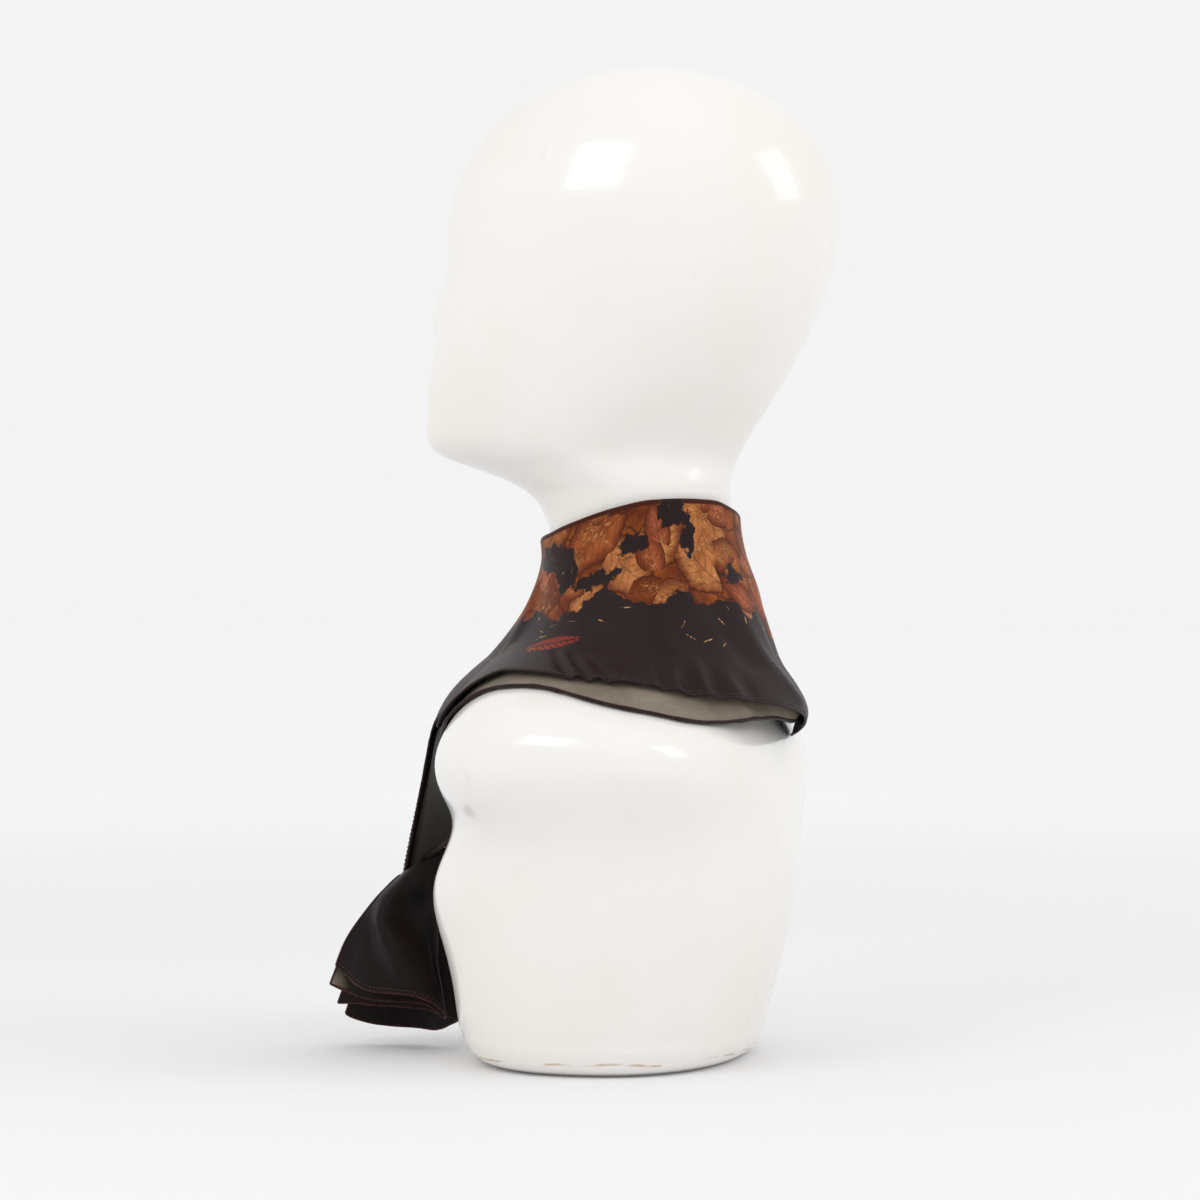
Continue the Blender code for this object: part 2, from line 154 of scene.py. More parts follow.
# Columns: angle, low_turn, fold_radius, fold_height, middle_radius, middle_height, low_radius,
# low_height, outer_reach, under_reach
WRAP_SECTIONS = (
    (38, 24, 55.5, 305.0, 65.0, 262.0, 117.0, 213.0, 0.94, 1.02),
    (60, 18, 55.0, 311.0, 66.0, 263.0, 124.0, 209.5, 0.93, 0.985),
    (90, 8, 55.0, 319.4, 67.0, 264.0, 131.0, 202.0, 0.89, 0.995),
    (110, 0, 56.0, 323.2, 69.5, 263.0, 129.0, 200.0, 0.87, 0.99),
    (130, 0, 56.5, 324.0, 71.5, 261.0, 121.0, 199.0, 0.885, 0.97),
    (151, 0, 57.0, 323.5, 73.0, 259.0, 114.0, 200.0, 0.93, 0.97),
    (168, 0, 57.0, 319.8, 73.0, 257.0, 113.0, 197.0, 0.965, 0.988),
    (184, 0, 57.0, 316.5, 72.5, 255.0, 109.0, 190.0, 1.0, 0.955),
    (200, 0, 56.5, 314.0, 71.5, 253.0, 106.0, 187.0, 1.0, 0.90),
    (222, 0, 56.5, 312.0, 70.0, 253.0, 104.0, 194.0, 1.0, 0.95),
    (250, 0, 56.0, 310.0, 68.0, 255.0, 117.0, 204.0, 0.94, 1.0),
    (270, -8, 55.0, 309.0, 66.0, 256.0, 121.0, 207.0, 0.92, 1.0),
    (300, -18, 55.0, 307.0, 66.0, 257.0, 119.0, 209.0, 0.93, 1.0),
    (322, -24, 55.5, 304.5, 65.0, 260.0, 117.0, 213.0, 0.94, 1.0),
)

# The lower edge turns in towards the bust at the nape. Columns: angle, inward
NAPE_CURL = (
    (38, 0),
    (146, 0),
    (162, 5),
    (176, 14),
    (190, 22),
    (206, 20),
    (222, 8),
    (246, 0),
    (322, 0),
)
CURL_STARTS_AT = 0.88

# The under ply lies closer to the bust behind the shoulder. Columns: angle, inward
UNDER_CURL = (
    (38, 0),
    (112, 0),
    (136, 4.0),
    (150, 8.0),
    (162, 6.5),
    (178, 1.0),
    (190, 0),
    (322, 0),
)
UNDER_CURL_STARTS_AT = 0.7

# At the nape, the low edge of the outer ply comes down past the under ply, onto the bust
NAPE_LOW_EDGE = (174.0, 186.0, 206.0, 222.0)
NAPE_LOW_FROM = 0.93
NAPE_LOW_CLEARANCE = 1.8

# Front stretches, for the left side. Columns: run, fold_x, fold_y, fold_z, middle_x,
# middle_y, middle_z, low_x, low_y, low_z, outer_reach, under_reach
STRETCH_SECTIONS_ALONG = 62
STRETCH_SECTIONS = (
    (0.12, 18, -40, 303, 37, -42, 260, 93, -58, 206, 0.98, 1.03),
    (0.25, 8, -43.5, 298.4, 36, -48, 258, 85, -67, 199, 1.02, 1.04),
    (0.38, 6, -48, 279, 37, -56, 247, 77, -77, 193, 1.01, 1.02),
    (0.50, 6, -54.5, 259, 35, -69, 234, 69, -86, 186, 0.94, 1.0),
    (0.60, 6, -66.5, 244, 33, -83, 219, 62, -92, 178, 0.80, 1.0),
    (0.70, 6, -91, 225, 30, -98, 202, 55, -96, 168, 0.52, 1.0),
    (0.80, 6, -110.5, 203, 27, -108, 182, 48, -94, 155, 0.22, 1.0),
    (0.85, 6, -115.0, 186, 24.5, -109.5, 168, 42.5, -91, 146.5, 0.13, 1.0),
    (0.90, 6, -117.0, 168, 22, -110, 154, 37, -88, 138, 0.09, 1.0),
    (0.96, 6, -126, 137, 19, -115, 132, 28, -95, 125, 0.09, 1.0),
    (0.98, 9.5, -128.2, 121, 19, -118.5, 120.5, 18, -103, 121.5, 0.10, 1.0),
    (1.00, 13.8, -129, 106, 18.4, -121.5, 108, 15.8, -112.5, 111.5, 0.12, 1.0),
)

# Creases of the worn scarf, each a line on the cloth from one place to another.
# along is the angle round the neck, down the distance from the fold; a trough's height is less
# than nothing.
# Columns: ply, along, down, along_end, down_end, half_width, height
CREASES = (
    ("outer", 58, 88, 70, 118, 3.0, -1.3),
    ("outer", 63, 90, 74, 120, 2.6, 1.1),
    ("outer", 67, 93, 78, 121, 2.8, -1.3),
    ("outer", 72, 98, 82, 122, 2.4, 0.9),
    ("outer", 79, 102, 86, 122, 2.6, -0.9),
    ("outer", 88, 106, 92, 122, 3.0, 0.6),
    ("outer", 108, 104, 110, 122, 2.8, -1.0),
    ("outer", 113, 100, 114, 122, 2.6, 1.1),
    ("outer", 118, 104, 119, 122, 2.8, -1.2),
    ("outer", 123, 98, 124, 122, 2.6, 1.0),
    ("outer", 128, 102, 129, 122, 2.9, -1.1),
    ("outer", 134, 104, 135, 122, 2.8, 0.8),
    ("outer", 141, 106, 141, 122, 3.2, -0.7),
    ("outer", 98, 40, 120, 108, 9.0, 0.8),
    ("outer", 130, 30, 148, 100, 8.0, -0.9),
    ("outer", 150, 50, 166, 120, 7.0, 1.0),
    ("outer", 60, 30, 84, 86, 8.0, -0.7),
    ("outer", 172, 40, 186, 118, 6.0, -1.1),
    ("outer", 190, 60, 196, 124, 5.0, 1.0),
    ("outer", 206, 36, 214, 116, 7.0, -0.9),
    ("outer", 226, 44, 238, 118, 8.0, 0.9),
    ("outer", 140, 44, 222, 42, 17.0, 1.6),
    ("outer", 142, 88, 220, 86, 13.0, -1.3),
    ("under", 142, 88, 220, 86, 13.0, -0.9),
    ("outer", 240, 98, 243, 120, 4.2, -1.0),
    ("outer", 250, 96, 252, 120, 4.0, 0.9),
    ("outer", 260, 100, 261, 121, 4.4, -0.9),
    ("outer", 264, 30, 254, 92, 9.0, -0.8),
    ("outer", 283, 90, 276, 118, 4.4, -1.1),
    ("outer", 292, 88, 285, 118, 4.2, 1.0),
    ("outer", 300, 28, 286, 86, 8.0, 0.8),
    ("under", 96, 118, 99, 138, 3.4, 0.8),
    ("under", 124, 110, 128, 136, 3.6, -0.7),
    ("under", 134, 112, 140, 134, 3.4, 0.8),
    ("under", 232, 108, 230, 132, 4.0, 0.7),
    ("under", 272, 112, 268, 136, 4.2, -0.7),
)
CREASE_GAIN = 1.7
CREASE_MM_PER_DEGREE = 1.25
CREASE_END_FADE = 7.0
CREASE_START_FADE = 0.25

# Painted light and shade on the reverse of the worn scarf along its length: its own pale olive between
# these places, painted shade beyond them
PAINTED_LIGHT_ALONG = (-108.0, -63.0, 285.0, 330.0)
PAINTED_LIGHT_RANGE = (-0.5, 1.0)

# Its turned-in edge at the nape lies in shade: along the scarf, and down from the fold
NAPE_SHADE_ALONG = (88.0, 96.0, 170.0, 190.0)
NAPE_SHADE_DOWN = (108.0, 116.0)
NAPE_SHADE_DEPTH = 1.9

# Knot: bands of silk wound round a small ball
KNOT_CENTRE = (0.0, -121.0, 105.0)
KNOT_RADII = (11.4, 10.6, 10.6)
KNOT_RINGS = 60
KNOT_POINTS_ROUND = 96
KNOT_GROOVE = 0.12
KNOT_GROOVE_SHARPNESS = 10
KNOT_WRINKLE = 0.018
KNOT_CLOTH_ALONG = (0.0, 60.0)
KNOT_CLOTH_DOWN = (90.0, 120.0)
KNOT_OUT_OF_PRINT = -60.0

# Rolled hems swell a little where the thread turns. Their rings start square to one direction.
HEM_SIDES = 8
HEM_SWELL = 0.09
HEM_WAVES = (3.1, 11.0, 7.7)
HEM_REFERENCE = (0.31, 0.23, 0.92)

# Hem stitches. Those on a tail stop short of the end hem's corners.
STITCH_SPACING = 2.6
STITCH_LENGTH = 1.3
STITCH_RADIUS = 0.24
STITCH_SIDES = 6
STITCH_SCALES = (0.75, 1.15)
STITCH_SEED = 11
STITCH_INSET = 2.4
STITCH_LIFT = 0.1
STITCHED_ON_TAIL = slice(2, 55)

# Studio, in metres
FLOOR_SIZE = 60.0
FLOOR_NEAR = 0.6
FLOOR_FAR = 3.0
AIR_BRIGHTNESS = 0.9
LIT_PLACE = (0.0, 0.0, 0.35)

# Soft lights. Columns: name, towards_camera, to_the_right, height, width, length, power, tint
SOFTBOXES = (
    ("key_softbox", 1.2, -0.9, 1.5, 0.7, 0.9, 4.5, (1.0, 0.99, 0.97)),
    ("side_softbox", 0.5, 1.4, 1.3, 0.6, 0.9, 3.5, (0.98, 0.99, 1.0)),
)


def smooth_through(stations, values, at):
    """Cubic through a table's rows, one column of values each, with no overshoot."""
    stations = np.asarray(stations, float)
    values = np.asarray(values, float)
    at = np.atleast_1d(np.asarray(at, float))
    step = np.diff(stations)[:, None]
    slope = np.diff(values, axis=0) / step
    lean = np.zeros_like(values)
    lean[0] = slope[0]
    lean[-1] = slope[-1]
    before = 2 * step[1:] + step[:-1]
    after = step[1:] + 2 * step[:-1]
    same_way = slope[:-1] * slope[1:] > 0
    with np.errstate(divide="ignore", invalid="ignore"):
        blended = (before + after) / (before / slope[:-1] + after / slope[1:])
    lean[1:-1] = np.where(same_way, blended, 0.0)
    place = np.clip(np.searchsorted(stations, at, side="right") - 1, 0, len(step) - 1)
    width = step[place]
    t = (at[:, None] - stations[place][:, None]) / width
    return (
        values[place] * (1 + 2 * t) * (1 - t) ** 2
        + lean[place] * width * t * (1 - t) ** 2
        + values[place + 1] * t * t * (3 - 2 * t)
        + lean[place + 1] * width * t * t * (t - 1)
    )


def rows_at(table, at):
    """All columns of a table but the first, at stations of the first."""
    rows = np.asarray(table, float)
    return smooth_through(rows[:, 0], rows[:, 1:], at)


def unit(vectors):
    """Vectors of length one, the same way as those given."""
    return vectors / np.linalg.norm(vectors, axis=-1, keepdims=True)


def grid_normals(grid):
    """Unit normals of a grid of points, from its neighbours along and across."""
    return unit(np.cross(np.gradient(grid, axis=0), np.gradient(grid, axis=1)))


def softened(grid, rounds):
    """Grid with each inner point drawn towards the mean of its neighbours, both ways."""
    grid = grid.copy()
    for _ in range(rounds):
        grid[1:-1] = grid[1:-1] / 2 + (grid[2:] + grid[:-2]) / 4
        grid[:, 1:-1] = grid[:, 1:-1] / 2 + (grid[:, 2:] + grid[:, :-2]) / 4
    return grid


def travel_along(line):
    """How far each point of a line is from its first one, along it."""
    return np.concatenate([[0], np.cumsum(np.linalg.norm(np.diff(line, axis=0), axis=1))])


def travel_across(grid):
    """How far each point of a grid is from the first one of its row, along the row."""
    steps = np.linalg.norm(np.diff(grid, axis=1), axis=2)
    return np.concatenate([np.zeros((len(grid), 1)), np.cumsum(steps, axis=1)], axis=1)


def put_in_scene(name, data):
    """New object at the origin, which holds a mesh, a light or a camera."""
    obj = bpy.data.objects.new(name, data)
    bpy.context.scene.collection.objects.link(obj)
    return obj


def new_object(name, points, faces, materials, face_materials=None, smooth_angle=50):
    """Mesh object from points in millimetres that rides on the bust's body."""
    mesh = bpy.data.meshes.new(name)
    mesh.from_pydata(np.asarray(points) * MM, [], [tuple(map(int, face)) for face in faces])
    for material in materials:
        mesh.materials.append(material)
    if face_materials is not None:
        mesh.polygons.foreach_set("material_index", np.asarray(face_materials, np.int32))
    mesh.shade_smooth()
    mesh.set_sharp_from_angle(angle=math.radians(smooth_angle))
    obj = put_in_scene(name, mesh)
    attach(obj, "root")
    return obj


def give_cloth_map(obj, coordinates):
    """UV map in metres of cloth, one pair for each point: along the scarf, down from the fold."""
    layer = obj.data.uv_layers.new(name="cloth")
    corners = np.empty(len(obj.data.loops), np.int32)
    obj.data.loops.foreach_get("vertex_index", corners)
    places = np.asarray(coordinates)[corners] * MM
    layer.data.foreach_set("uv", places.astype(np.float32).ravel())


class Socket:
    """A node socket that Python's own operators work on."""

    def __init__(self, shader, link):
        self.shader = shader
        self.link = link

    def maths(self, operation, *others):
        return self.shader.node("ShaderNodeMath", {"operation": operation}, [self, *others])

    def __add__(self, other):
        return self.maths("ADD", other)

    def __radd__(self, other):
        return self.maths("ADD", other)

    def __sub__(self, other):
        return self.maths("SUBTRACT", other)

    def __rsub__(self, other):
        return self.shader.node("ShaderNodeMath", {"operation": "SUBTRACT"}, [other, self])

    def __mul__(self, other):
        return self.maths("MULTIPLY", other)

    def __rmul__(self, other):
        return self.maths("MULTIPLY", other)

    def __truediv__(self, other):
        return self.maths("DIVIDE", other)

    def most(self, other):
        return self.maths("MAXIMUM", other)

    def magnitude(self):
        return self.maths("ABSOLUTE")

    def fraction(self):
        return self.maths("FRACT")

    def sine(self):
        return self.maths("SINE")

    def cosine(self):
        return self.maths("COSINE")

    def between(self, low, high):
        """0 below low and 1 above high, soft between them."""
        settings = {"interpolation_type": "SMOOTHSTEP"}
        return self.shader.node("ShaderNodeMapRange", settings, [self, low, high, 0.0, 1.0])


class Shader:
    """A material being built from nodes."""

    def __init__(self, name, roughness, **constants):
        self.material = bpy.data.materials.new(name)
        self.material.use_nodes = True
        self.tree = self.material.node_tree
        self.surface = self.tree.nodes["Principled BSDF"]
        self.surface.inputs["Roughness"].default_value = roughness
        for socket, value in constants.items():
            self.surface.inputs[socket.replace("_", " ")].default_value = value

    def node(self, kind, settings=None, values=(), output=0):
        """New node: settings are set first, then its sockets, by order or by name."""
        node = self.tree.nodes.new(kind)
        for name, value in (settings or {}).items():
            setattr(node, name, value)
        pairs = values.items() if isinstance(values, dict) else enumerate(values)
        for key, value in pairs:
            socket = node.inputs[key]
            if isinstance(value, Socket):
                self.tree.links.new(value.link, socket)
            else:
                socket.default_value = value
        return Socket(self, node.outputs[output])

    def object_place(self):
        return self.node("ShaderNodeTexCoord", output="Object")

    def cloth_millimetres(self):
        """How far a place is along the scarf, and down from its fold."""
        u, v, _ = self.parts_of(self.node("ShaderNodeUVMap", {"uv_map": "cloth"}))
        return u / MM, v / MM

    def parts_of(self, vector):
        first = self.node("ShaderNodeSeparateXYZ", values=[vector])
        outputs = first.link.node.outputs
        return [Socket(self, outputs[k]) for k in range(3)]

    def vector(self, x, y):
        return self.node("ShaderNodeCombineXYZ", values=[x, y])

    def vector_maths(self, operation, *values):
        return self.node("ShaderNodeVectorMath", {"operation": operation}, values)

    def noise(self, place, scale, detail=2.0, output="Fac"):
        values = {"Vector": place, "Scale": scale, "Detail": detail}
        return self.node("ShaderNodeTexNoise", values=values, output=output)

    def cells(self, place, scale, feature="F1", output="Distance"):
        settings = {"feature": feature, "voronoi_dimensions": "2D"}
        return self.node("ShaderNodeTexVoronoi", settings, {"Vector": place, "Scale": scale}, output)

    def attribute(self, name):
        return self.node("ShaderNodeAttribute", {"attribute_name": name}, output="Fac")

    def mixed(self, share, first, second):
        """Colour between two colours."""
        return self.node("ShaderNodeMix", {"data_type": "RGBA"}, {0: share, 6: first, 7: second}, 2)

    def bump(self, height, strength, distance):
        values = {"Strength": strength, "Distance": distance, "Height": height}
        return self.node("ShaderNodeBump", values=values)

    def finish(self, **links):
        for socket, value in links.items():
            self.tree.links.new(value.link, self.surface.inputs[socket.replace("_", " ")])
        return self.material


def colour(red, green, blue):
    """Linear colour of a colour given on the screen's scale of 0 to 255."""
    return tuple((c / 255) ** 2.2 for c in (red, green, blue)) + (1.0,)


GROUND = colour(48, 36, 36)
GROUND_DARK = colour(36, 25, 27)
AMBER = colour(148, 79, 32)
TERRACOTTA = colour(168, 90, 60)
TAN = colour(182, 114, 66)
BROWN = colour(94, 42, 22)
DEEP_BROWN = colour(66, 30, 18)
GOLD = colour(222, 172, 104)
RUST = colour(140, 52, 34)
REVERSE = colour(140, 129, 115)
REVERSE_DARK = colour(114, 104, 92)
# Painted shade and painted light on the reverse: shaded, half shaded, lit and deep shade
REVERSE_SHADED = colour(32, 30, 22)
REVERSE_HALF_SHADED = colour(42, 39, 29)
REVERSE_LIT = colour(170, 168, 150)
REVERSE_DEEP_SHADE = colour(26, 20, 19)
# Painted shade: near-black laid on the printed ground in folds, pockets and the knot's grooves
GROUND_IN_PAINTED_SHADE = colour(5, 3, 3)
HEM_RUST = colour(66, 38, 30)
THREAD_DARK = colour(22, 16, 18)
THREAD_LIGHT = colour(64, 46, 40)
PLASTIC = colour(243, 241, 238)
PLASTIC_WARM = colour(240, 235, 227)
SCUFF = colour(186, 176, 160)
SCRATCH = colour(186, 150, 98)
SCRATCH_HEIGHT = 7.0
FLOOR_DIM = colour(240, 240, 241)
FLOOR_PALE = colour(253, 253, 253)

# Edge of the leaf print on the scarf: the leaves reach this far down from the fold.
# Columns: along the scarf, reach
PRINT_EDGE = (
    (-240, -8),
    (-150, -6),
    (-124, 4),
    (-104, 18),
    (-88, 40),
    (-74, 50),
    (-60, 46),
    (-44, 57),
    (-28, 52),
    (-12, 44),
    (4, 54),
    (20, 61),
    (36, 52),
    (52, 60),
    (70, 58),
    (84, 66),
    (98, 58),
    (118, 74),
    (150, 66),
    (186, 58),
    (214, 66),
    (250, 48),
    (276, 56),
    (296, 34),
    (322, 8),
    (440, -8),
)

# Bare places inside the leaf print. Columns: along, down, half_length, half_height
BARE_PLACES = (
    (-52, 14, 17, 8),
    (-36, 26, 9, 13),
    (-16, 37, 15, 5),
    (8, 22, 8, 6),
    (34, 6, 11, 9),
    (46, 20, 6, 10),
    (78, 42, 9, 5),
    (150, 8, 15, 9),
    (214, 34, 16, 8),
    (262, 20, 12, 9),
)

# One leaf by itself below the print. Columns: along, down, half_length, half_height, lean
RUST_LEAF = (-38.0, 79.0, 19.0, 6.0, -0.12)

# Leaves of the print, one in each cell, and the twigs below them. Columns: cell, length, width,
# vein_spacing
LEAVES_UPPER = (31.0, 27.0, 15.0, 5.6)
LEAVES_LOWER = (24.0, 18.0, 9.0, 4.4)
TWIGS = (11.0, 3.6, 0.42, 2.0)

# Twigs lie this far outside the print, counted below zero: the soft edges where they start and end
TWIGS_FROM = (-6.0, -3.0)
TWIGS_TO = (-34.0, -28.0)

WEAVE_TURNS = 14.0
SILK_BUMP_DEPTH = 0.0004


def leaf_layer(shader, place, sizes):
    """Scattered leaves, one in each cell.

    Gives how far inside a leaf a place is, its veins, two chances of its own and the place
    along its grain.
    """
    cell, length, width, vein_spacing = sizes
    centre = shader.cells(place, 1 / cell, output="Position")
    first, second, third = shader.parts_of(shader.cells(place, 1 / cell, output="Color"))
    x, y, _ = shader.parts_of(shader.vector_maths("SUBTRACT", place, centre))
    turn = first * (2 * math.pi)
    ahead = x * turn.cosine() + y * turn.sine()
    aside = y * turn.cosine() - x * turn.sine()
    share = ahead / length
    outline = (1 - share * share) * width * (1 - 0.35 * share)
    inside = outline - aside.magnitude()
    slant = ahead - aside.magnitude() * 0.8
    ribs = (slant / vein_spacing).fraction() - 0.5
    ribs = 1 - ribs.magnitude().between(0.03, 0.14)
    midrib = 1 - aside.magnitude().between(0.2, 0.7)
    veins = midrib.most(ribs * 0.8)
    return inside, veins, (second, third), shader.vector(ahead * 0.28, aside * 2.1)


def weave_height(u, v):
    """Plain weave: threads along the scarf and across it."""
    return (u * WEAVE_TURNS).sine() * 0.5 + (v * WEAVE_TURNS).sine() * 0.5


def leaf_colour(s, leaf, mottle, patchy, rim):
    """Colour of one leaf: its own tint, mottled, with veins, gold hatching and a dark rim."""
    inside, veins, chances, grain = leaf
    tint = s.mixed(chances[0].between(0.4, 0.6), AMBER, TERRACOTTA)
    tint = s.mixed(chances[1].between(0.7, 0.78), tint, TAN)
    tint = s.mixed(1 - chances[1].between(0.16, 0.26), tint, BROWN)
    tint = s.mixed((mottle - 0.4) * 2.2, tint, BROWN)
    tint = s.mixed(veins * 0.5, tint, DEEP_BROWN)
    hatching = s.noise(grain, 1.0, 2.0).between(0.56, 0.64) * inside.between(1.5, 6.0)
    tint = s.mixed(hatching * patchy * 0.7, tint, GOLD)
    tint = s.mixed((1 - inside.between(0.4, 8.0)) * 0.85, tint, BROWN)
    return s.mixed(1 - inside.between(0.15, rim), tint, DEEP_BROWN)


def leaf_print(s, u, v, place):
    """Overlapping autumn leaves, in two layers over a ground of small leaf pieces."""
    wx, wy, _ = s.parts_of(s.noise(place, 0.11, 3.0, "Color"))
    warped = s.vector(u + (wx - 0.5) * 9, v + (wy - 0.5) * 9)
    tilted = s.vector(u * 0.94 + v * 0.34 + 61, v * 0.94 - u * 0.34 + 17 + (wx - 0.5) * 5)
    upper = leaf_layer(s, warped, LEAVES_UPPER)
    lower = leaf_layer(s, tilted, LEAVES_LOWER)
    mottle = s.noise(place, 0.09, 5.0)
    patchy = s.noise(place, 0.07, 2.0).between(0.46, 0.56)
    borders = s.cells(warped, 1 / 19.0, "DISTANCE_TO_EDGE").between(0.06, 0.01)
    pieces = s.mixed(s.noise(place, 0.06, 4.0).between(0.35, 0.7), BROWN, AMBER)
    pieces = s.mixed(borders * 0.8, pieces, DEEP_BROWN)
    leaves = s.mixed(upper[0].between(-0.2, 0.4), pieces, leaf_colour(s, upper, mottle, patchy, 1.8))
    where = lower[0].between(-0.2, 0.4) * lower[2][0].between(0.38, 0.4)
    return s.mixed(where, leaves, leaf_colour(s, lower, mottle, patchy, 1.2))


def with_twigs(s, cloth, u, v, place, edge, streak):
    """Cloth with short gold twigs scattered below the print."""
    twig, _, chances, _ = leaf_layer(s, s.vector(u + 200, v + 90), TWIGS)
    strokes = twig.between(-0.05, 0.15) * streak.between(0.42, 0.5)
    zone = edge.between(*TWIGS_TO) * (1 - edge.between(*TWIGS_FROM)) * chances[0].between(0.5, 0.52)
    clusters = s.noise(place, 0.03, 1.0).between(0.45, 0.52)
    return s.mixed(strokes * zone * clusters * 0.8, cloth, GOLD)


def with_rust_leaf(s, cloth, u, v, streak):
    """Cloth with one small rust leaf, its veins left in the ground's colour."""
    along, down, half_length, half_height, lean = RUST_LEAF
    x = (u - along) + (v - down) * lean
    y = (v - down) - (u - along) * lean
    share = x / half_length
    inside = (1 - share * share) * half_height - y.magnitude() + (streak - 0.5) * 3
    rib_line = ((x - y.magnitude() * 0.7) / 3.6).fraction() - 0.5
    cut = rib_line.magnitude().between(0.06, 0.16) * y.magnitude().between(0.3, 0.9)
    return s.mixed(inside.between(0.0, 0.5) * cut * 0.9, cloth, RUST)


def printed_silk():
    """Near-black aubergine silk, with overlapping autumn leaves in a band along its fold."""
    s = Shader("printed_silk", 0.46, Sheen_Weight=0.06, Sheen_Roughness=0.35, Specular_IOR_Level=0.12)
    s.surface.inputs["Sheen Tint"].default_value = colour(190, 170, 165)
    u, v = s.cloth_millimetres()
    place = s.vector(u, v)
    streak = s.noise(s.vector(u * 0.9 + v * 0.5, v * 0.25), 0.8, 3.0)
    edge = s.attribute("print_inside")
    in_band = (edge + (s.noise(place, 0.16, 4.0) - 0.5) * 16).between(-0.8, 0.8)
    ground = s.mixed(s.noise(place, 0.02, 2.0), GROUND_DARK, GROUND)
    # Painted shade: the printed ground is darkened where the painted shade value is set
    ground = s.mixed(s.attribute("hollow"), ground, GROUND_IN_PAINTED_SHADE)
    cloth = s.mixed(in_band, ground, leaf_print(s, u, v, place))
    cloth = s.mixed((1 - v.magnitude().between(0.6, 1.8)) * in_band, cloth, DEEP_BROWN)
    cloth = with_twigs(s, cloth, u, v, place, edge, streak)
    cloth = with_rust_leaf(s, cloth, u, v, streak)

    slubs = s.noise(s.vector(u * 0.15, v * 2.2), 1.0, 3.0)
    height = weave_height(u, v) * 0.25 + slubs * 0.8 + s.noise(place, 0.35, 2.0) * 0.8
    normal = s.bump(height, 0.22, SILK_BUMP_DEPTH)
    rough = 0.42 + (slubs - 0.5) * 0.16 + in_band * 0.05
    return s.finish(Base_Color=cloth, Roughness=rough, Normal=normal)


def silk_reverse():
    """The scarf's wrong side: the ground shows through as olive grey, with painted shade and painted
    light laid on it.
    """
    s = Shader("silk_reverse", 0.5, Sheen_Weight=0.06, Sheen_Roughness=0.4, Specular_IOR_Level=0.12)
    u, v = s.cloth_millimetres()
    place = s.vector(u, v)
    cloth = s.mixed(s.noise(place, 0.03, 3.0).between(0.3, 0.7), REVERSE_DARK, REVERSE)
    threads = s.noise(s.vector(u * 2.4, v * 0.12), 1.0, 3.0)
    cloth = s.mixed((threads - 0.45) * 0.7, cloth, REVERSE_DARK)
    cloth = s.mixed(s.noise(place, 0.5, 4.0).between(0.42, 0.7) * 0.4, cloth, REVERSE_DARK)
    # Painted light and shade on the reverse: deep painted shade, painted shade, its own olive, then
    # painted light coming through
    painted_light_level = s.attribute("reverse_painted_light")
    shaded = s.mixed(s.noise(place, 0.03, 2.0).between(0.3, 0.7), REVERSE_SHADED, REVERSE_HALF_SHADED)
    shaded = s.mixed(painted_light_level + 1, REVERSE_DEEP_SHADE, shaded)
    cloth = s.mixed(painted_light_level, shaded, cloth)
    cloth = s.mixed(painted_light_level - 1, cloth, REVERSE_LIT)
    height = weave_height(u, v) * 0.25 + threads * 0.7 + s.noise(place, 0.35, 2.0) * 0.6
    normal = s.bump(height, 0.2, SILK_BUMP_DEPTH)
    return s.finish(Base_Color=cloth, Roughness=0.5 + (threads - 0.5) * 0.15, Normal=normal)


def hem_silk(name, tint_colour):
    """Rolled hem: the dark ground twisted round on itself, with its turn of thread."""
    s = Shader(name, 0.5, Sheen_Weight=0.05, Specular_IOR_Level=0.15)
    u, v = s.cloth_millimetres()
    place = s.vector(u, v)
    twist = (u * 1.6 + v * 0.9).sine()
    cloth = s.mixed(s.noise(place, 0.05, 3.0).between(0.5, 0.72), GROUND_DARK, GROUND)
    cloth = s.mixed(twist.between(0.6, 1.0) * 0.3, cloth, BROWN)
    cloth = s.mixed(s.noise(place, 0.09, 2.0).between(0.35, 0.6) * 0.8, cloth, tint_colour)
    return s.finish(Base_Color=cloth, Normal=s.bump(twist, 0.35, 0.0003))


def stitch_thread():
    """Dark sewing thread, a little lighter here and there."""
    s = Shader("stitch_thread", 0.55, Sheen_Weight=0.2)
    tint = s.noise(s.object_place(), 900.0, 1.0)
    return s.finish(Base_Color=s.mixed(tint, THREAD_DARK, THREAD_LIGHT))


def bust_plastic():
    """Glossy white moulding, with faint handling marks, scuffs and fine scratches."""
    s = Shader("bust_plastic", 0.2, Coat_Weight=0.5, Coat_Roughness=0.08, Specular_IOR_Level=0.5)
    place = s.object_place()
    haze = s.noise(place, 9.0, 4.0)
    skin = s.mixed(haze.between(0.35, 0.75), PLASTIC, PLASTIC_WARM)
    scuffs = s.noise(s.vector_maths("MULTIPLY", place, (60.0, 90.0, 34.0)), 1.0, 6.0)
    mark = scuffs.between(0.6, 0.68) * s.noise(place, 11.0, 2.0).between(0.58, 0.7)
    skin = s.mixed(mark * 0.1, skin, SCUFF)
    _, _, z = s.parts_of(place)
    level = z / MM + (s.noise(place, 22.0, 3.0) - 0.5) * 12
    line = 1 - (level - SCRATCH_HEIGHT).magnitude().between(0.2, 1.0)
    skin = s.mixed(line * s.noise(place, 34.0, 2.0).between(0.44, 0.54) * 0.7, skin, SCRATCH)
    rough = 0.17 + haze * 0.12 + mark * 0.08
    ripple = s.noise(place, 26.0, 2.0)
    return s.finish(Base_Color=skin, Roughness=rough, Normal=s.bump(ripple, 0.03, 0.0006))


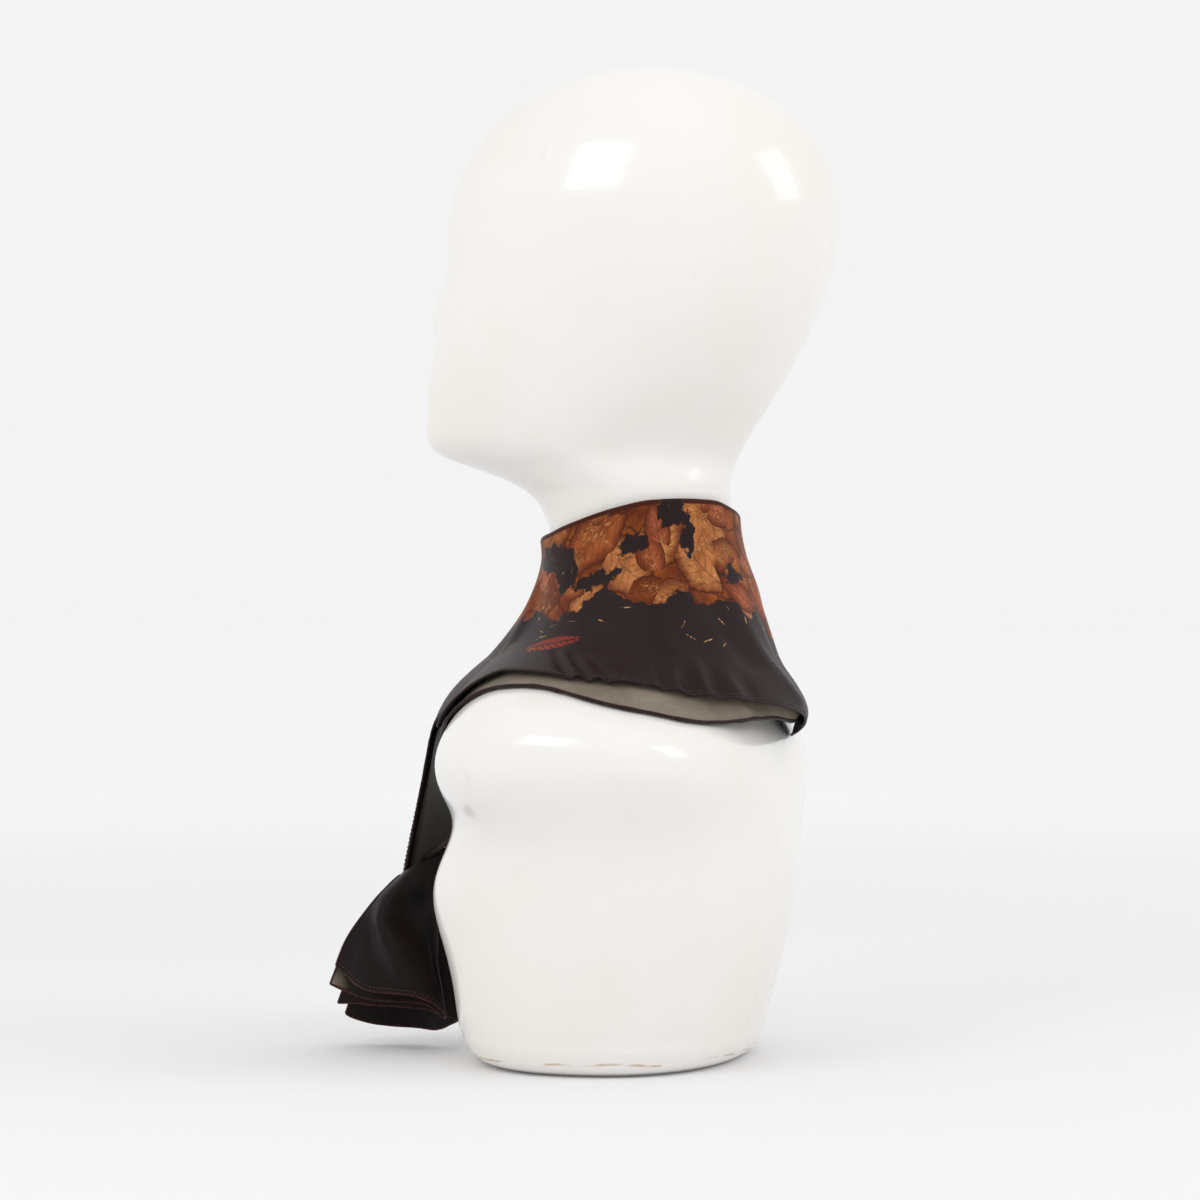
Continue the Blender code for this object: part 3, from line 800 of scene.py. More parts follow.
SILK = printed_silk()
SILK_REVERSE = silk_reverse()
HEM = hem_silk("hem_silk", GROUND)
TAIL_HEM = hem_silk("hem_silk_rust", HEM_RUST)
THREAD = stitch_thread()
WHITE = bust_plastic()


def tube_faces(rings, around):
    """Faces of a closed tube of rings, with a flat end at each end."""
    faces = []
    for ring in range(rings - 1):
        for i in range(around):
            here = ring * around + i
            beside = ring * around + (i + 1) % around
            faces.append((here, beside, beside + around, here + around))
    faces.append(tuple(reversed(range(around))))
    faces.append(tuple(range((rings - 1) * around, rings * around)))
    return faces


def bust_ring(row, turns):
    """Points of one bust section; a turn is 0 at the front and grows towards +X."""
    height, front, back, half_width, squareness, tilt = row
    middle = (front + back) / 2
    power = 2 / squareness
    across = np.sin(turns)
    ahead = np.cos(turns)
    x = half_width * np.sign(across) * np.abs(across) ** power
    y = middle - (back - front) / 2 * np.sign(ahead) * np.abs(ahead) ** power
    onset = np.clip(RELIEF_ONSET * ahead, 0, 1)
    for side, centre, half_across, half_height, rise in BUST_RELIEF:
        for sign in {1, -1} if side else {1}:
            away = ((x - sign * side) / half_across) ** 2 + ((height - centre) / half_height) ** 2
            y = y - rise * np.exp(-away / 2) * onset
    return np.stack([x, y, height - tilt * (y - middle)], axis=1)


def softened_bust(rings, heights):
    """Rings drawn towards the mean of their neighbours, up the bust and round it."""
    rings = rings.copy()
    end = BUST_END_RINGS
    for _ in range(BUST_FIRST_ROUNDS):
        rings[end:-end] = rings[end:-end] / 2 + (rings[end + 1 : 1 - end] + rings[end - 1 : -end - 1]) / 4
    for low, high, rounds, kept in BUST_SOFTENING:
        first, last = np.searchsorted(heights, (low, high), side="right")
        top = last - first - kept
        for _ in range(rounds):
            part = rings[first:last]
            part = part / 2 + (np.roll(part, 1, axis=1) + np.roll(part, -1, axis=1)) / 4
            part[1:top] = part[1:top] / 2 + (part[2 : top + 1] + part[: top - 1]) / 4
            rings[first:last] = part
    return rings


def display_bust():
    """Head, neck, shoulders and chest in one smooth closed moulding on a flat underside."""
    table = np.array(BUST_SECTIONS, float)
    stations = np.arange(len(table))
    rows = smooth_through(stations, table, np.linspace(0, len(table) - 1, BUST_RINGS))
    even = np.linspace(0, 2 * math.pi, BUST_POINTS_ROUND, endpoint=False)
    turns = even - BUST_FRONT_DENSITY * np.sin(even)
    rings = softened_bust(np.array([bust_ring(row, turns) for row in rows]), rows[:, 0])
    faces = tube_faces(BUST_RINGS, BUST_POINTS_ROUND)
    obj = new_object("bust_moulding", rings.reshape(-1, 3), faces, [WHITE], smooth_angle=60)
    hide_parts("display_bust")
    return obj


def tree_of(obj):
    """Search tree of an object's surface, in millimetres."""
    points = [tuple(v.co / MM) for v in obj.data.vertices]
    return BVHTree.FromPolygons(points, [tuple(p.vertices) for p in obj.data.polygons])


def lifted(points, wanted, tree):
    """Points moved out from a surface until they are as far from it as wanted."""
    flat = points.reshape(-1, 3)
    distances = np.broadcast_to(np.asarray(wanted, float), points.shape[:-1]).reshape(-1)
    moved = flat.copy()
    for i, (point, distance) in enumerate(zip(flat, distances)):
        spot, normal, _, _ = tree.find_nearest(Vector(point))
        height = (Vector(point) - spot).dot(normal)
        if height < distance:
            moved[i] = point + np.array(normal) * (distance - height)
    return moved.reshape(points.shape)


def sections_down(folds, middles, lows):
    """Grid of points on parabolas from the fold through the middle to the lower edge."""
    t = np.linspace(0, 1, POINTS_DOWN_A_PLY)[None, :, None]
    folds, middles, lows = (p[:, None, :] for p in (folds, middles, lows))
    return folds * (1 - t) * (1 - 2 * t) + middles * 4 * t * (1 - t) + lows * t * (2 * t - 1)


def wrap_grid(angles):
    """Sections of the sheet round the neck, and the reach of both plies."""
    rows = rows_at(WRAP_SECTIONS, angles)
    places = []
    for share, column in ((0.0, 1), (WRAP_MIDDLE_TURN, 3), (1.0, 5)):
        turn = np.radians(angles + rows[:, 0] * share)
        radius = rows[:, column]
        across = np.sin(turn) * radius
        ahead = NECK_AXIS_Y - np.cos(turn) * radius
        places.append(np.stack([across, ahead, rows[:, column + 1]], axis=1))
    return sections_down(*places), rows[:, 7:9]


def stretch_grid(mirror):
    """Sections of a front stretch from the neck wrap to the knot; mirror is 1 left, -1 right."""
    start, start_reach = wrap_grid(np.array([WRAP_END_ANGLE * mirror % 360]))
    first = STRETCH_SECTIONS[0][0]
    runs = np.linspace(0, 1, STRETCH_SECTIONS_ALONG + 1)[1:]
    rows = rows_at(STRETCH_SECTIONS, np.maximum(runs, first))
    places = [rows[:, k : k + 3] * (mirror, 1, 1) for k in range(0, 9, 3)]
    share = np.minimum(1.0, runs / first)[:, None]
    grid = start * (1 - share[:, :, None]) + sections_down(*places) * share[:, :, None]
    return grid, start_reach * (1 - share) + rows[:, 9:] * share


def curled(sheet, angles, table, starts_at):
    """Sheet with its lower edge turned in towards the neck's axis, by a table of angles."""
    amount = rows_at(table, np.clip(angles, table[0][0], table[-1][0]))
    share = np.linspace(0, 1, sheet.shape[1])[None]
    share = np.clip((share - starts_at) / (1 - starts_at), 0, 1) ** 2
    inward = (0.0, NECK_AXIS_Y, 0.0) - sheet
    inward[:, :, 2] = 0
    return sheet + unit(inward) * (amount * share)[:, :, None]


def down_a_sheet(sheet, shares):
    """Points at shares of the way down each section; shares has a row for each section."""
    places = shares * (sheet.shape[1] - 1)
    low = np.clip(places.astype(int), 0, sheet.shape[1] - 2)
    part = (places - low)[:, :, None]
    rows = np.arange(len(sheet))[:, None]
    return sheet[rows, low] * (1 - part) + sheet[rows, low + 1] * part


def crease_heights(ply, along, down):
    """Height of the listed creases at each point of a ply."""
    height = np.zeros_like(along)
    for name, start_along, start_down, end_along, end_down, half_width, rise in CREASES:
        if name != ply:
            continue
        start = np.array([start_along * CREASE_MM_PER_DEGREE, start_down])
        way = np.array([end_along * CREASE_MM_PER_DEGREE, end_down]) - start
        length = np.linalg.norm(way)
        way /= length
        x = along * CREASE_MM_PER_DEGREE - start[0]
        y = down - start[1]
        run = (x * way[0] + y * way[1]) / length
        off = (x * way[1] - y * way[0]) / half_width
        past_an_end = np.clip(np.abs(run - 0.5) - 0.5, 0, None) * length
        taper = np.clip(1 - past_an_end / CREASE_END_FADE, 0, 1)
        taper = taper * np.clip(run + CREASE_START_FADE, 0, 1)
        height += CREASE_GAIN * rise * np.exp(-off * off) * taper
    return height


def wall_faces(rows, columns):
    """Faces of a closed wall over two copies of a grid, and which side each is on."""
    second = rows * columns
    i, j = np.meshgrid(np.arange(rows - 1), np.arange(columns - 1), indexing="ij")
    corner = (i * columns + j).ravel()
    front = np.stack([corner, corner + columns, corner + columns + 1, corner + 1], axis=1)
    back = front[:, ::-1] + second
    rim = [(0, j) for j in range(columns)]
    rim += [(i, columns - 1) for i in range(1, rows)]
    rim += [(rows - 1, j) for j in range(columns - 2, -1, -1)]
    rim += [(i, 0) for i in range(rows - 2, 0, -1)]
    edge = np.array([i * columns + j for i, j in rim])
    after = np.roll(edge, -1)
    side = np.stack([edge, after, after + second, edge + second], axis=1)
    is_back = np.zeros(len(front) + len(back) + len(side), int)
    is_back[len(front) : len(front) + len(back)] = 1
    return np.concatenate([front, back, side]), is_back


def give_values(obj, name, values):
    """Named value at each point of a mesh, for its materials."""
    attribute = obj.data.attributes.new(name, "FLOAT", "POINT")
    attribute.data.foreach_set("value", np.asarray(values, np.float32))


def silk_sheet(name, grid, coordinates, painted_light_level, hollow, normals):
    """Thin closed sheet about a grid: the printed side lies along the grid's normals.

    How pale the reverse is gives its painted light and shade: at 1 its own pale olive, at 0 painted
    shade, at -1 deep painted shade and at 2 painted light coming through it. How deep the printed
    side lies gives the painted shade on it.
    """
    offset = normals * SILK_THICKNESS / 2
    points = np.concatenate([(grid + offset).reshape(-1, 3), (grid - offset).reshape(-1, 3)])
    faces, is_back = wall_faces(*grid.shape[:2])
    a, b, c, d = (points[faces[:, k]] for k in range(4))
    if np.einsum("ij,ij->i", a, np.cross(b, c) + np.cross(c, d)).sum() < 0:
        faces = faces[:, ::-1]
    obj = new_object(name, points, faces, [SILK, SILK_REVERSE], is_back)
    flat = coordinates.reshape(-1, 2)
    give_cloth_map(obj, np.concatenate([flat, flat]))
    give_values(obj, "print_inside", np.tile(print_inside(flat), 2))
    give_values(obj, "reverse_painted_light", np.tile(painted_light_level.ravel(), 2))
    give_values(obj, "hollow", np.tile(hollow.ravel(), 2))
    return obj


def print_inside(coordinates):
    """How far each place lies inside the leaf print; less than nothing is outside it."""
    along = coordinates[:, 0]
    down = np.abs(coordinates[:, 1])
    edge = np.array(PRINT_EDGE, float)
    reach = smooth_through(edge[:, 0], edge[:, 1:], np.clip(along, edge[0, 0], edge[-1, 0]))[:, 0]
    inside = reach - down
    for a, d, half_length, half_height in BARE_PLACES:
        away = np.hypot((along - a) / half_length, (down - d) / half_height)
        inside = np.minimum(inside, (away - 1) * min(half_length, half_height))
    return inside


def tube(line, radius):
    """Points and faces of a closed round tube along a line of points, and its cloth map."""
    along = unit(np.gradient(line, axis=0))
    across = unit(np.cross(along, HEM_REFERENCE))
    up = np.cross(across, along)
    turns = np.linspace(0, 2 * math.pi, HEM_SIDES, endpoint=False)
    travel = travel_along(line)
    short, long, lone = HEM_WAVES
    swell = np.sin(travel / short + 1.3 * np.sin(travel / long)) + np.sin(travel / lone)
    swell = (radius * (1 + HEM_SWELL * swell))[:, None, None]
    cosine, sine = (wave(turns)[None, :, None] for wave in (np.cos, np.sin))
    rings = line[:, None] + swell * (across[:, None] * cosine + up[:, None] * sine)
    girth = np.arange(HEM_SIDES) * 2 * math.pi * radius / HEM_SIDES
    flat = np.stack([np.repeat(travel, HEM_SIDES), np.tile(girth, len(line))], axis=1)
    return rings.reshape(-1, 3), tube_faces(len(line), HEM_SIDES), flat


def rolled_hem(name, lines, radii, material):
    """Rolled hems along the free edges of a sheet, as one piece."""
    points, faces, flats = [], [], []
    start = 0
    for line, radius in zip(lines, radii):
        hem_points, hem_faces, flat = tube(line, radius)
        points.append(hem_points)
        flats.append(flat)
        faces += [tuple(k + start for k in face) for face in hem_faces]
        start += len(hem_points)
    obj = new_object(name, np.concatenate(points), faces, [material], smooth_angle=80)
    make_outward(obj)
    give_cloth_map(obj, np.concatenate(flats))
    return obj


def make_outward(obj):
    """Turns a closed mesh's faces outwards."""
    mesh = bmesh.new()
    mesh.from_mesh(obj.data)
    bmesh.ops.recalc_face_normals(mesh, faces=mesh.faces)
    mesh.to_mesh(obj.data)
    mesh.free()


def sheet_on_bust(tree):
    """Grid of the folded sheet from the knot round the neck and back, laid on the bust.

    Gives the grid, its outward normals, the reach of both plies, and each section's angle
    round the neck: the exact one for the wrap alone, and one that runs on to the knot.
    """
    seen = np.linspace(WRAP_END_ANGLE, SEEN_TO_ANGLE, WRAP_SECTIONS_SEEN, endpoint=False)
    hidden = np.linspace(SEEN_TO_ANGLE, 360 - WRAP_END_ANGLE, WRAP_SECTIONS_HIDDEN)
    angles = np.concatenate([seen, hidden])
    left, left_reach = stretch_grid(1)
    right, right_reach = stretch_grid(-1)
    around, around_reach = wrap_grid(angles)
    sheet = np.concatenate([left[::-1], around, right])
    reach = np.concatenate([left_reach[::-1], around_reach, right_reach])
    wrap_angles = np.concatenate([np.zeros(len(left)), angles, np.zeros(len(right))])
    to_the_knot = np.linspace(0, WRAP_END_ANGLE, STRETCH_SECTIONS_ALONG, endpoint=False)
    from_the_knot = np.linspace(360 - WRAP_END_ANGLE, 360, STRETCH_SECTIONS_ALONG + 1)[1:]
    turn_angles = np.concatenate([to_the_knot, angles, from_the_knot])

    sheet = curled(sheet, wrap_angles, NAPE_CURL, CURL_STARTS_AT)
    nape = np.interp(wrap_angles, NAPE_LOW_EDGE, (0, 1, 1, 0))[:, None]
    low = (np.linspace(0, 1, POINTS_DOWN_A_PLY) - NAPE_LOW_FROM) / (1 - NAPE_LOW_FROM)
    low = np.clip(low, 0, 1)[None]
    clearance = OUTER_CLEARANCE - (OUTER_CLEARANCE - NAPE_LOW_CLEARANCE) * nape * low
    for _ in range(LIFT_ROUNDS):
        sheet = softened(lifted(sheet, clearance, tree), SMOOTHING_ROUNDS)
    sheet = lifted(sheet, clearance - LAST_LIFT_LESS, tree)
    normals = grid_normals(sheet)
    outward = sheet - (0.0, NECK_AXIS_Y, 0.0)
    outward[:, :, 2] = 0
    if (normals * outward).sum() < 0:
        normals = -normals
    return sheet, unit(softened(normals, NORMAL_SMOOTHING_ROUNDS)), reach, wrap_angles, turn_angles


def ply(name, sheet, normals, reach, turn_angles, points_down):
    """One ply's sections down from the fold: their points, normals, depth and crease heights."""
    shares = np.linspace(0, 1, points_down)[None] * reach[:, None]
    ply_normals = unit(down_a_sheet(normals, shares))
    depth = down_a_sheet(travel_across(sheet)[:, :, None], shares)[:, :, 0]
    along = np.repeat(turn_angles[:, None], points_down, axis=1)
    creases = crease_heights(name, along, depth)[:, :, None]
    return down_a_sheet(sheet, shares), ply_normals, depth, creases


def fold_round(sheet, normals):
    """Half turns of points at the fold, from the outer ply over to the under one."""
    up = sheet[:, 0] - sheet[:, 1]
    up = unit(up - normals[:, 0] * (up * normals[:, 0]).sum(1, keepdims=True))
    turns = np.linspace(0, math.pi, POINTS_ROUND_A_FOLD + 2)[1:-1]
    centre = sheet[:, 0] - normals[:, 0] * FOLD_RADIUS
    arcs = [normals[:, 0] * math.cos(t) + up * math.sin(t) for t in turns]
    return np.stack([centre + FOLD_RADIUS * arc for arc in arcs], axis=1)


def worn_scarf(tree):
    """The folded sheet from the knot round the neck and back to the knot, with its hems."""
    sheet, normals, reach, wrap_angles, turn_angles = sheet_on_bust(tree)
    outer, outer_normals, outer_depth, outer_creases = ply(
        "outer", sheet, normals, reach[:, 0], turn_angles, POINTS_DOWN_THE_OUTER_PLY
    )
    under, under_normals, under_depth, under_creases = ply(
        "under", sheet, normals, reach[:, 1], turn_angles, POINTS_DOWN_THE_UNDER_PLY
    )
    outer = outer + outer_normals * outer_creases
    part = PLIES_PART_BY * np.linspace(0, 1, POINTS_DOWN_THE_UNDER_PLY)[None, :, None] ** 2
    under = under - under_normals * (2 * FOLD_RADIUS + part)
    under = curled(under, wrap_angles, UNDER_CURL, UNDER_CURL_STARTS_AT)
    under = lifted(under + under_normals * under_creases, PLY_CLEARANCE, tree)
    grid = np.concatenate([outer[:, ::-1], fold_round(sheet, normals), under], axis=1)

    travel = travel_along(sheet[:, POINTS_DOWN_A_PLY // 2])
    travel -= travel[np.argmin(np.abs(wrap_angles - SHOULDER_ANGLE))]
    at_fold = np.zeros((len(sheet), POINTS_ROUND_A_FOLD))
    down = np.concatenate([outer_depth[:, ::-1], at_fold, -under_depth], axis=1)
    along = np.repeat(travel[:, None], grid.shape[1], axis=1)
    coordinates = np.stack([along, down], axis=2)
    sides = grid_normals(grid)
    if (sides[:, :POINTS_DOWN_THE_OUTER_PLY] * outer_normals[:, ::-1]).sum() < 0:
        sides = -sides

    # Painted light and shade on the reverse: its own olive round the neck, painted shade on the front
    # stretches, deeper painted shade at the nape
    dark, light = PAINTED_LIGHT_RANGE
    painted_light_level = dark + (light - dark) * np.interp(along, PAINTED_LIGHT_ALONG, (0, 1, 1, 0))
    shade = np.interp(along, NAPE_SHADE_ALONG, (0, 1, 1, 0)) * np.interp(down, NAPE_SHADE_DOWN, (0, 1))
    painted_light_level = painted_light_level - NAPE_SHADE_DEPTH * shade
    scarf = silk_sheet("foulard_round_neck", grid, coordinates, painted_light_level, np.zeros(along.shape), sides)
    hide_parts("neck_wrap", "front_stretch_left", "front_stretch_right")
    edges = [grid[:, 0], grid[:, -1]]
    hems = rolled_hem("rolled_hems_round_neck", edges, [HEM_RADIUS, UNDER_HEM_RADIUS], HEM)
    return scarf, hems, grid, sides


def ball_faces(rings, around):
    """Faces of a closed ball: a point at each pole and rings of points between them."""
    faces = []
    last = 1 + rings * around
    high = last - around
    for i in range(around):
        k = (i + 1) % around
        faces.append((0, 1 + k, 1 + i))
        for low in range(1, high, around):
            faces.append((low + i, low + k, low + around + k, low + around + i))
        faces.append((high + i, high + k, last))
    return faces


def knot():
    """Small tight knot of wound silk with creases between its turns."""
    centre = np.array(KNOT_CENTRE)
    radii = np.array(KNOT_RADII)
    tilt = np.linspace(0, math.pi, KNOT_RINGS)[1:-1, None]
    turn = np.linspace(0, 2 * math.pi, KNOT_POINTS_ROUND, endpoint=False)[None]
    height = -np.cos(tilt) * np.ones_like(turn)
    outward = np.stack([np.cos(turn) * np.sin(tilt), np.sin(turn) * np.sin(tilt), height], axis=2)
    wave = np.sin(2 * turn + 2.2 * np.cos(tilt) + 0.4 * np.sin(3 * turn))
    shrink = 1 - KNOT_GROOVE * np.abs(wave) ** KNOT_GROOVE_SHARPNESS * np.sin(tilt)
    wrinkles = np.sin(9 * turn + 6 * np.cos(tilt)) * KNOT_WRINKLE * np.sin(tilt) ** 2
    body = centre + outward * radii * (shrink + wrinkles)[:, :, None]
    pole = np.array([0, 0, radii[2]])
    points = np.concatenate([[centre - pole], body.reshape(-1, 3), [centre + pole]])
    faces = ball_faces(KNOT_RINGS - 2, KNOT_POINTS_ROUND)
    obj = new_object("knot_of_silk", points, faces, [SILK], smooth_angle=80)

    along = np.linspace(*KNOT_CLOTH_ALONG, KNOT_POINTS_ROUND)
    down = np.linspace(*KNOT_CLOTH_DOWN, KNOT_RINGS - 2)
    spread = np.stack(np.meshgrid(along, down), axis=2).reshape(-1, 2)
    give_cloth_map(obj, np.concatenate([[[0, 100]], spread, [[0, 120]]]))
    give_values(obj, "print_inside", np.full(len(points), KNOT_OUT_OF_PRINT))
    # Painted shade in the grooves between the knot's turns
    groove_shade = np.clip((0.97 - shrink) / 0.06, 0, 0.8).ravel()
    give_values(obj, "hollow", np.concatenate([[0], groove_shade, [0]]))
    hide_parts("knot")


# Tails. Edges and folds run down from the knot and hems across, each place as x, y, z.
# near_folds and far_folds are a ply's soft folds, each a table down its run from the knot (0) to
# its hem (1), where across goes from the free edge (0) to the fold (1). Columns: run, across,
# half_width, height
# Painted shade on the near ply's printed side, spread wide or deep in a pocket, one row a place. Columns:
# run, across, half_run, half_across, depth
# The bows push the top of a ply out, the corner and rest values are the painted light and shade on
# its reverse, at the free corner and elsewhere, along is where the tail lies on the scarf, and its
# stitches are on the printed side (1) or the reverse (-1).
TAILS = {
    "tail_left": {
        "near_edge": (
            (13, -131.4, 104.6),
            (14, -138.0, 98.6),
            (15, -150.0, 85.4),
            (16, -159.4, 72.9),
            (15, -166.0, 62.2),
            (14, -169.2, 55.0),
            (13, -171.3, 50.2),
        ),
        "near_fold": (
            (16, -104.0, 117.4),
            (15, -104.6, 108.0),
            (14, -106.4, 97.0),
            (13, -107.0, 84.0),
            (13, -107.8, 71.0),
            (13, -107.4, 53.3),
            (12, -105.0, 37.3),
            (11, -102.4, 21.4),
        ),
        "near_hem": (
            (13, -171.3, 50.2),
            (16, -162.6, 44.2),
            (19, -156.6, 39.9),
            (22, -148.4, 36.9),
            (23, -142.7, 36.0),
            (23, -132.1, 35.6),
            (21, -122.9, 35.0),
            (18, -116.6, 33.3),
            (15, -109.9, 29.8),
            (13, -106.0, 25.5),
            (11, -102.4, 21.4),
        ),
        "far_edge": (
            (2, -129.0, 96.0),
            (2, -139.5, 91.0),
            (2, -152.5, 80.0),
            (3, -163.0, 67.0),
            (3, -170.5, 55.5),
            (3, -174.8, 47.0),
            (3, -178.4, 37.9),
        ),
        "far_hem": (
            (3, -178.4, 37.9),
            (5, -170.0, 35.0),
            (6, -159.0, 31.4),
            (7, -147.3, 29.4),
            (7, -132.0, 28.9),
            (7, -121.0, 28.4),
            (7, -112.0, 24.6),
            (7, -107.0, 20.0),
            (11, -102.4, 21.4),
        ),
        "near_folds": (
            (
                (0.00, 0.62, 0.30, 0.0),
                (0.16, 0.64, 0.32, -2.5),
                (0.33, 0.63, 0.28, -8.0),
                (0.50, 0.73, 0.21, -7.5),
                (0.66, 0.81, 0.13, -6.0),
                (0.82, 0.87, 0.09, -4.5),
                (1.00, 0.92, 0.06, -2.0),
            ),
            (
                (0.00, 0.30, 0.22, 0.0),
                (0.20, 0.20, 0.20, 3.5),
                (0.40, 0.26, 0.20, 6.0),
                (0.60, 0.50, 0.20, 6.5),
                (0.80, 0.66, 0.17, 5.5),
                (1.00, 0.76, 0.15, 3.0),
            ),
            (
                (0.25, 0.06, 0.08, 0.0),
                (0.42, 0.14, 0.08, -1.6),
                (0.60, 0.30, 0.11, -2.4),
                (0.80, 0.40, 0.14, -1.4),
                (1.00, 0.46, 0.18, 0.0),
            ),
        ),
        "far_folds": (
            (
                (0.00, 0.66, 0.34, 0.0),
                (0.15, 0.66, 0.34, -1.5),
                (0.35, 0.66, 0.34, -6.5),
                (0.70, 0.68, 0.32, -6.5),
                (1.00, 0.70, 0.28, -3.0),
            ),
        ),
        "hollows": (
            (0.50, 0.50, 9.0, 9.0, 0.5),
            (0.30, 0.66, 0.17, 0.24, 1.0),
            (0.56, 0.84, 0.24, 0.11, 0.95),
            (0.84, 0.93, 0.24, 0.06, 0.9),
        ),
        "near_bow": (9.0, 0.0, 0.6),
        "far_bow": (-4.0, 4.0, -13.0),
        "corner_painted_light": 1.1,
        "rest_painted_light": -0.7,
        "along": -420.0,
        "stitched_side": 1,
    },
    "tail_right": {
        "near_edge": (
            (-3, -129.0, 94.5),
            (-4, -138.0, 87.5),
            (-5, -149.0, 75.0),
            (-5, -159.0, 60.0),
            (-5, -167.0, 46.0),
            (-5, -172.0, 36.5),
            (-5, -176.3, 25.8),
        ),
        "near_fold": (
            (-15, -104.5, 115.0),
            (-15, -104.5, 106.0),
            (-14, -104.5, 96.0),
            (-12, -104.5, 80.0),
            (-10, -103.5, 60.0),
            (-9, -101.5, 43.0),
            (-9, -100.5, 29.0),
            (-9, -101.0, 17.5),
        ),
        "near_hem": (
            (-5, -176.3, 25.8),
            (-4, -166.0, 26.2),
            (-3, -150.0, 25.4),
            (-3, -136.0, 25.0),
            (-3, -122.0, 24.4),
            (-4, -112.0, 21.5),
            (-9, -101.0, 17.5),
        ),
        "far_edge": (
            (-13, -131.0, 103.5),
            (-15, -139.0, 94.5),
            (-17, -150.0, 78.0),
            (-18, -160.0, 59.0),
            (-19, -167.0, 42.0),
            (-19, -172.5, 29.0),
            (-19, -176.2, 18.0),
        ),
        "far_hem": (
            (-19, -176.2, 18.0),
            (-19.5, -173.6, 16.4),
            (-20, -166.4, 13.9),
            (-21, -156.0, 11.8),
            (-21, -147.0, 10.8),
            (-21, -134.0, 10.2),
            (-20, -122.5, 9.8),
            (-18, -114.5, 11.2),
            (-13, -107.5, 14.4),
            (-9, -101.0, 17.5),
        ),
        "near_folds": (
            (
                (0.0, 0.50, 0.20, 0.0),
                (0.5, 0.50, 0.20, 1.5),
                (1.0, 0.55, 0.20, 1.0),
            ),
        ),
        "far_folds": (
            (
                (0.00, 0.38, 0.16, 0.0),
                (0.40, 0.42, 0.16, -4.5),
                (1.00, 0.50, 0.18, -5.0),
            ),
            (
                (0.00, 0.70, 0.12, 0.0),
                (0.40, 0.74, 0.12, 3.0),
                (1.00, 0.80, 0.10, 2.0),
            ),
        ),
        "hollows": (
            (0.9, 0.6, 0.6, 0.8, 0.6),
        ),
        "near_bow": (4.0, 2.0, -12.0),
        "far_bow": (-9.0, 0.0, 0.6),
        "corner_painted_light": -0.4,
        "rest_painted_light": -1.0,
        "along": 620.0,
        "stitched_side": -1,
    },
}
TAIL_ROWS = 80
TAIL_COLUMNS = 60
TAIL_RUN = 80.0
TAIL_HALF_CUT = 128.0
TAIL_CORNER_RUN = 26.0
TAIL_CORNER_ACROSS = 30.0
TAIL_CORNER_FALL = 2.6
TAIL_FOLD_SHARPNESS = 2.6
TAIL_FREE_EDGE_FADE = 0.06
TAIL_FOLD_FADE = 0.05
TAIL_TURN_REACH = 4
TAIL_TURN_ROUNDS = 5


def line_through(places, count):
    """Smooth line through places, as evenly spaced points."""
    places = np.asarray(places, float)
    travel = travel_along(places)
    return smooth_through(travel, places, np.linspace(0, travel[-1], count))


def filled_patch(first_edge, second_edge, top, foot):
    """Surface between four border lines: the edges run down it, and top and foot across it."""
    s = np.linspace(0, 1, len(first_edge))[:, None, None]
    t = np.linspace(0, 1, len(top))[None, :, None]
    across = first_edge[:, None] * (1 - t) + second_edge[:, None] * t
    along = top[None] * (1 - s) + foot[None] * s
    top_corners = top[0] * (1 - s) * (1 - t) + top[-1] * (1 - s) * t
    return across + along - top_corners - foot[0] * s * (1 - t) - foot[-1] * s * t


def folds_on(patch, folds):
    """Patch with soft folds pushed out towards the bust's left."""
    rows, columns = patch.shape[:2]
    s = np.linspace(0, 1, rows)
    t = np.linspace(0, 1, columns)[None]
    height = np.zeros((rows, columns))
    for fold in folds:
        down_the_fold = rows_at(fold, np.clip(s, fold[0][0], fold[-1][0]))
        centre, half_width, rise = (down_the_fold[:, k : k + 1] for k in range(3))
        height += rise * np.exp(-np.abs((t - centre) / half_width) ** TAIL_FOLD_SHARPNESS)
    fade = np.clip(t / TAIL_FREE_EDGE_FADE, 0, 1) * np.clip((1 - t) / TAIL_FOLD_FADE, 0, 1)
    return patch + np.array([1, 0, 0]) * (height * fade)[:, :, None]


def softened_across_fold(grid, place):
    """Rounds the join of two plies into a narrow fold."""
    grid = grid.copy()
    for _ in range(TAIL_TURN_ROUNDS):
        part = grid[:, place - TAIL_TURN_REACH : place + TAIL_TURN_REACH + 1]
        part[:, 1:-1] = part[:, 1:-1] / 2 + (part[:, 2:] + part[:, :-2]) / 4
    return grid


def tail_ply(table, side, fold_line):
    """One ply of a tail, from its free edge across to the fold line."""
    edge = line_through(table[side + "_edge"], TAIL_ROWS)
    foot = line_through(table[side + "_hem"], TAIL_COLUMNS)
    foot[-1] = fold_line[-1]
    edge[-1] = foot[0]
    t = np.linspace(0, 1, TAIL_COLUMNS)[:, None]
    top = edge[0] * (1 - t) + fold_line[0] * t + np.sin(math.pi * t) * table[side + "_bow"]
    return folds_on(filled_patch(edge, fold_line, top, foot), table[side + "_folds"])


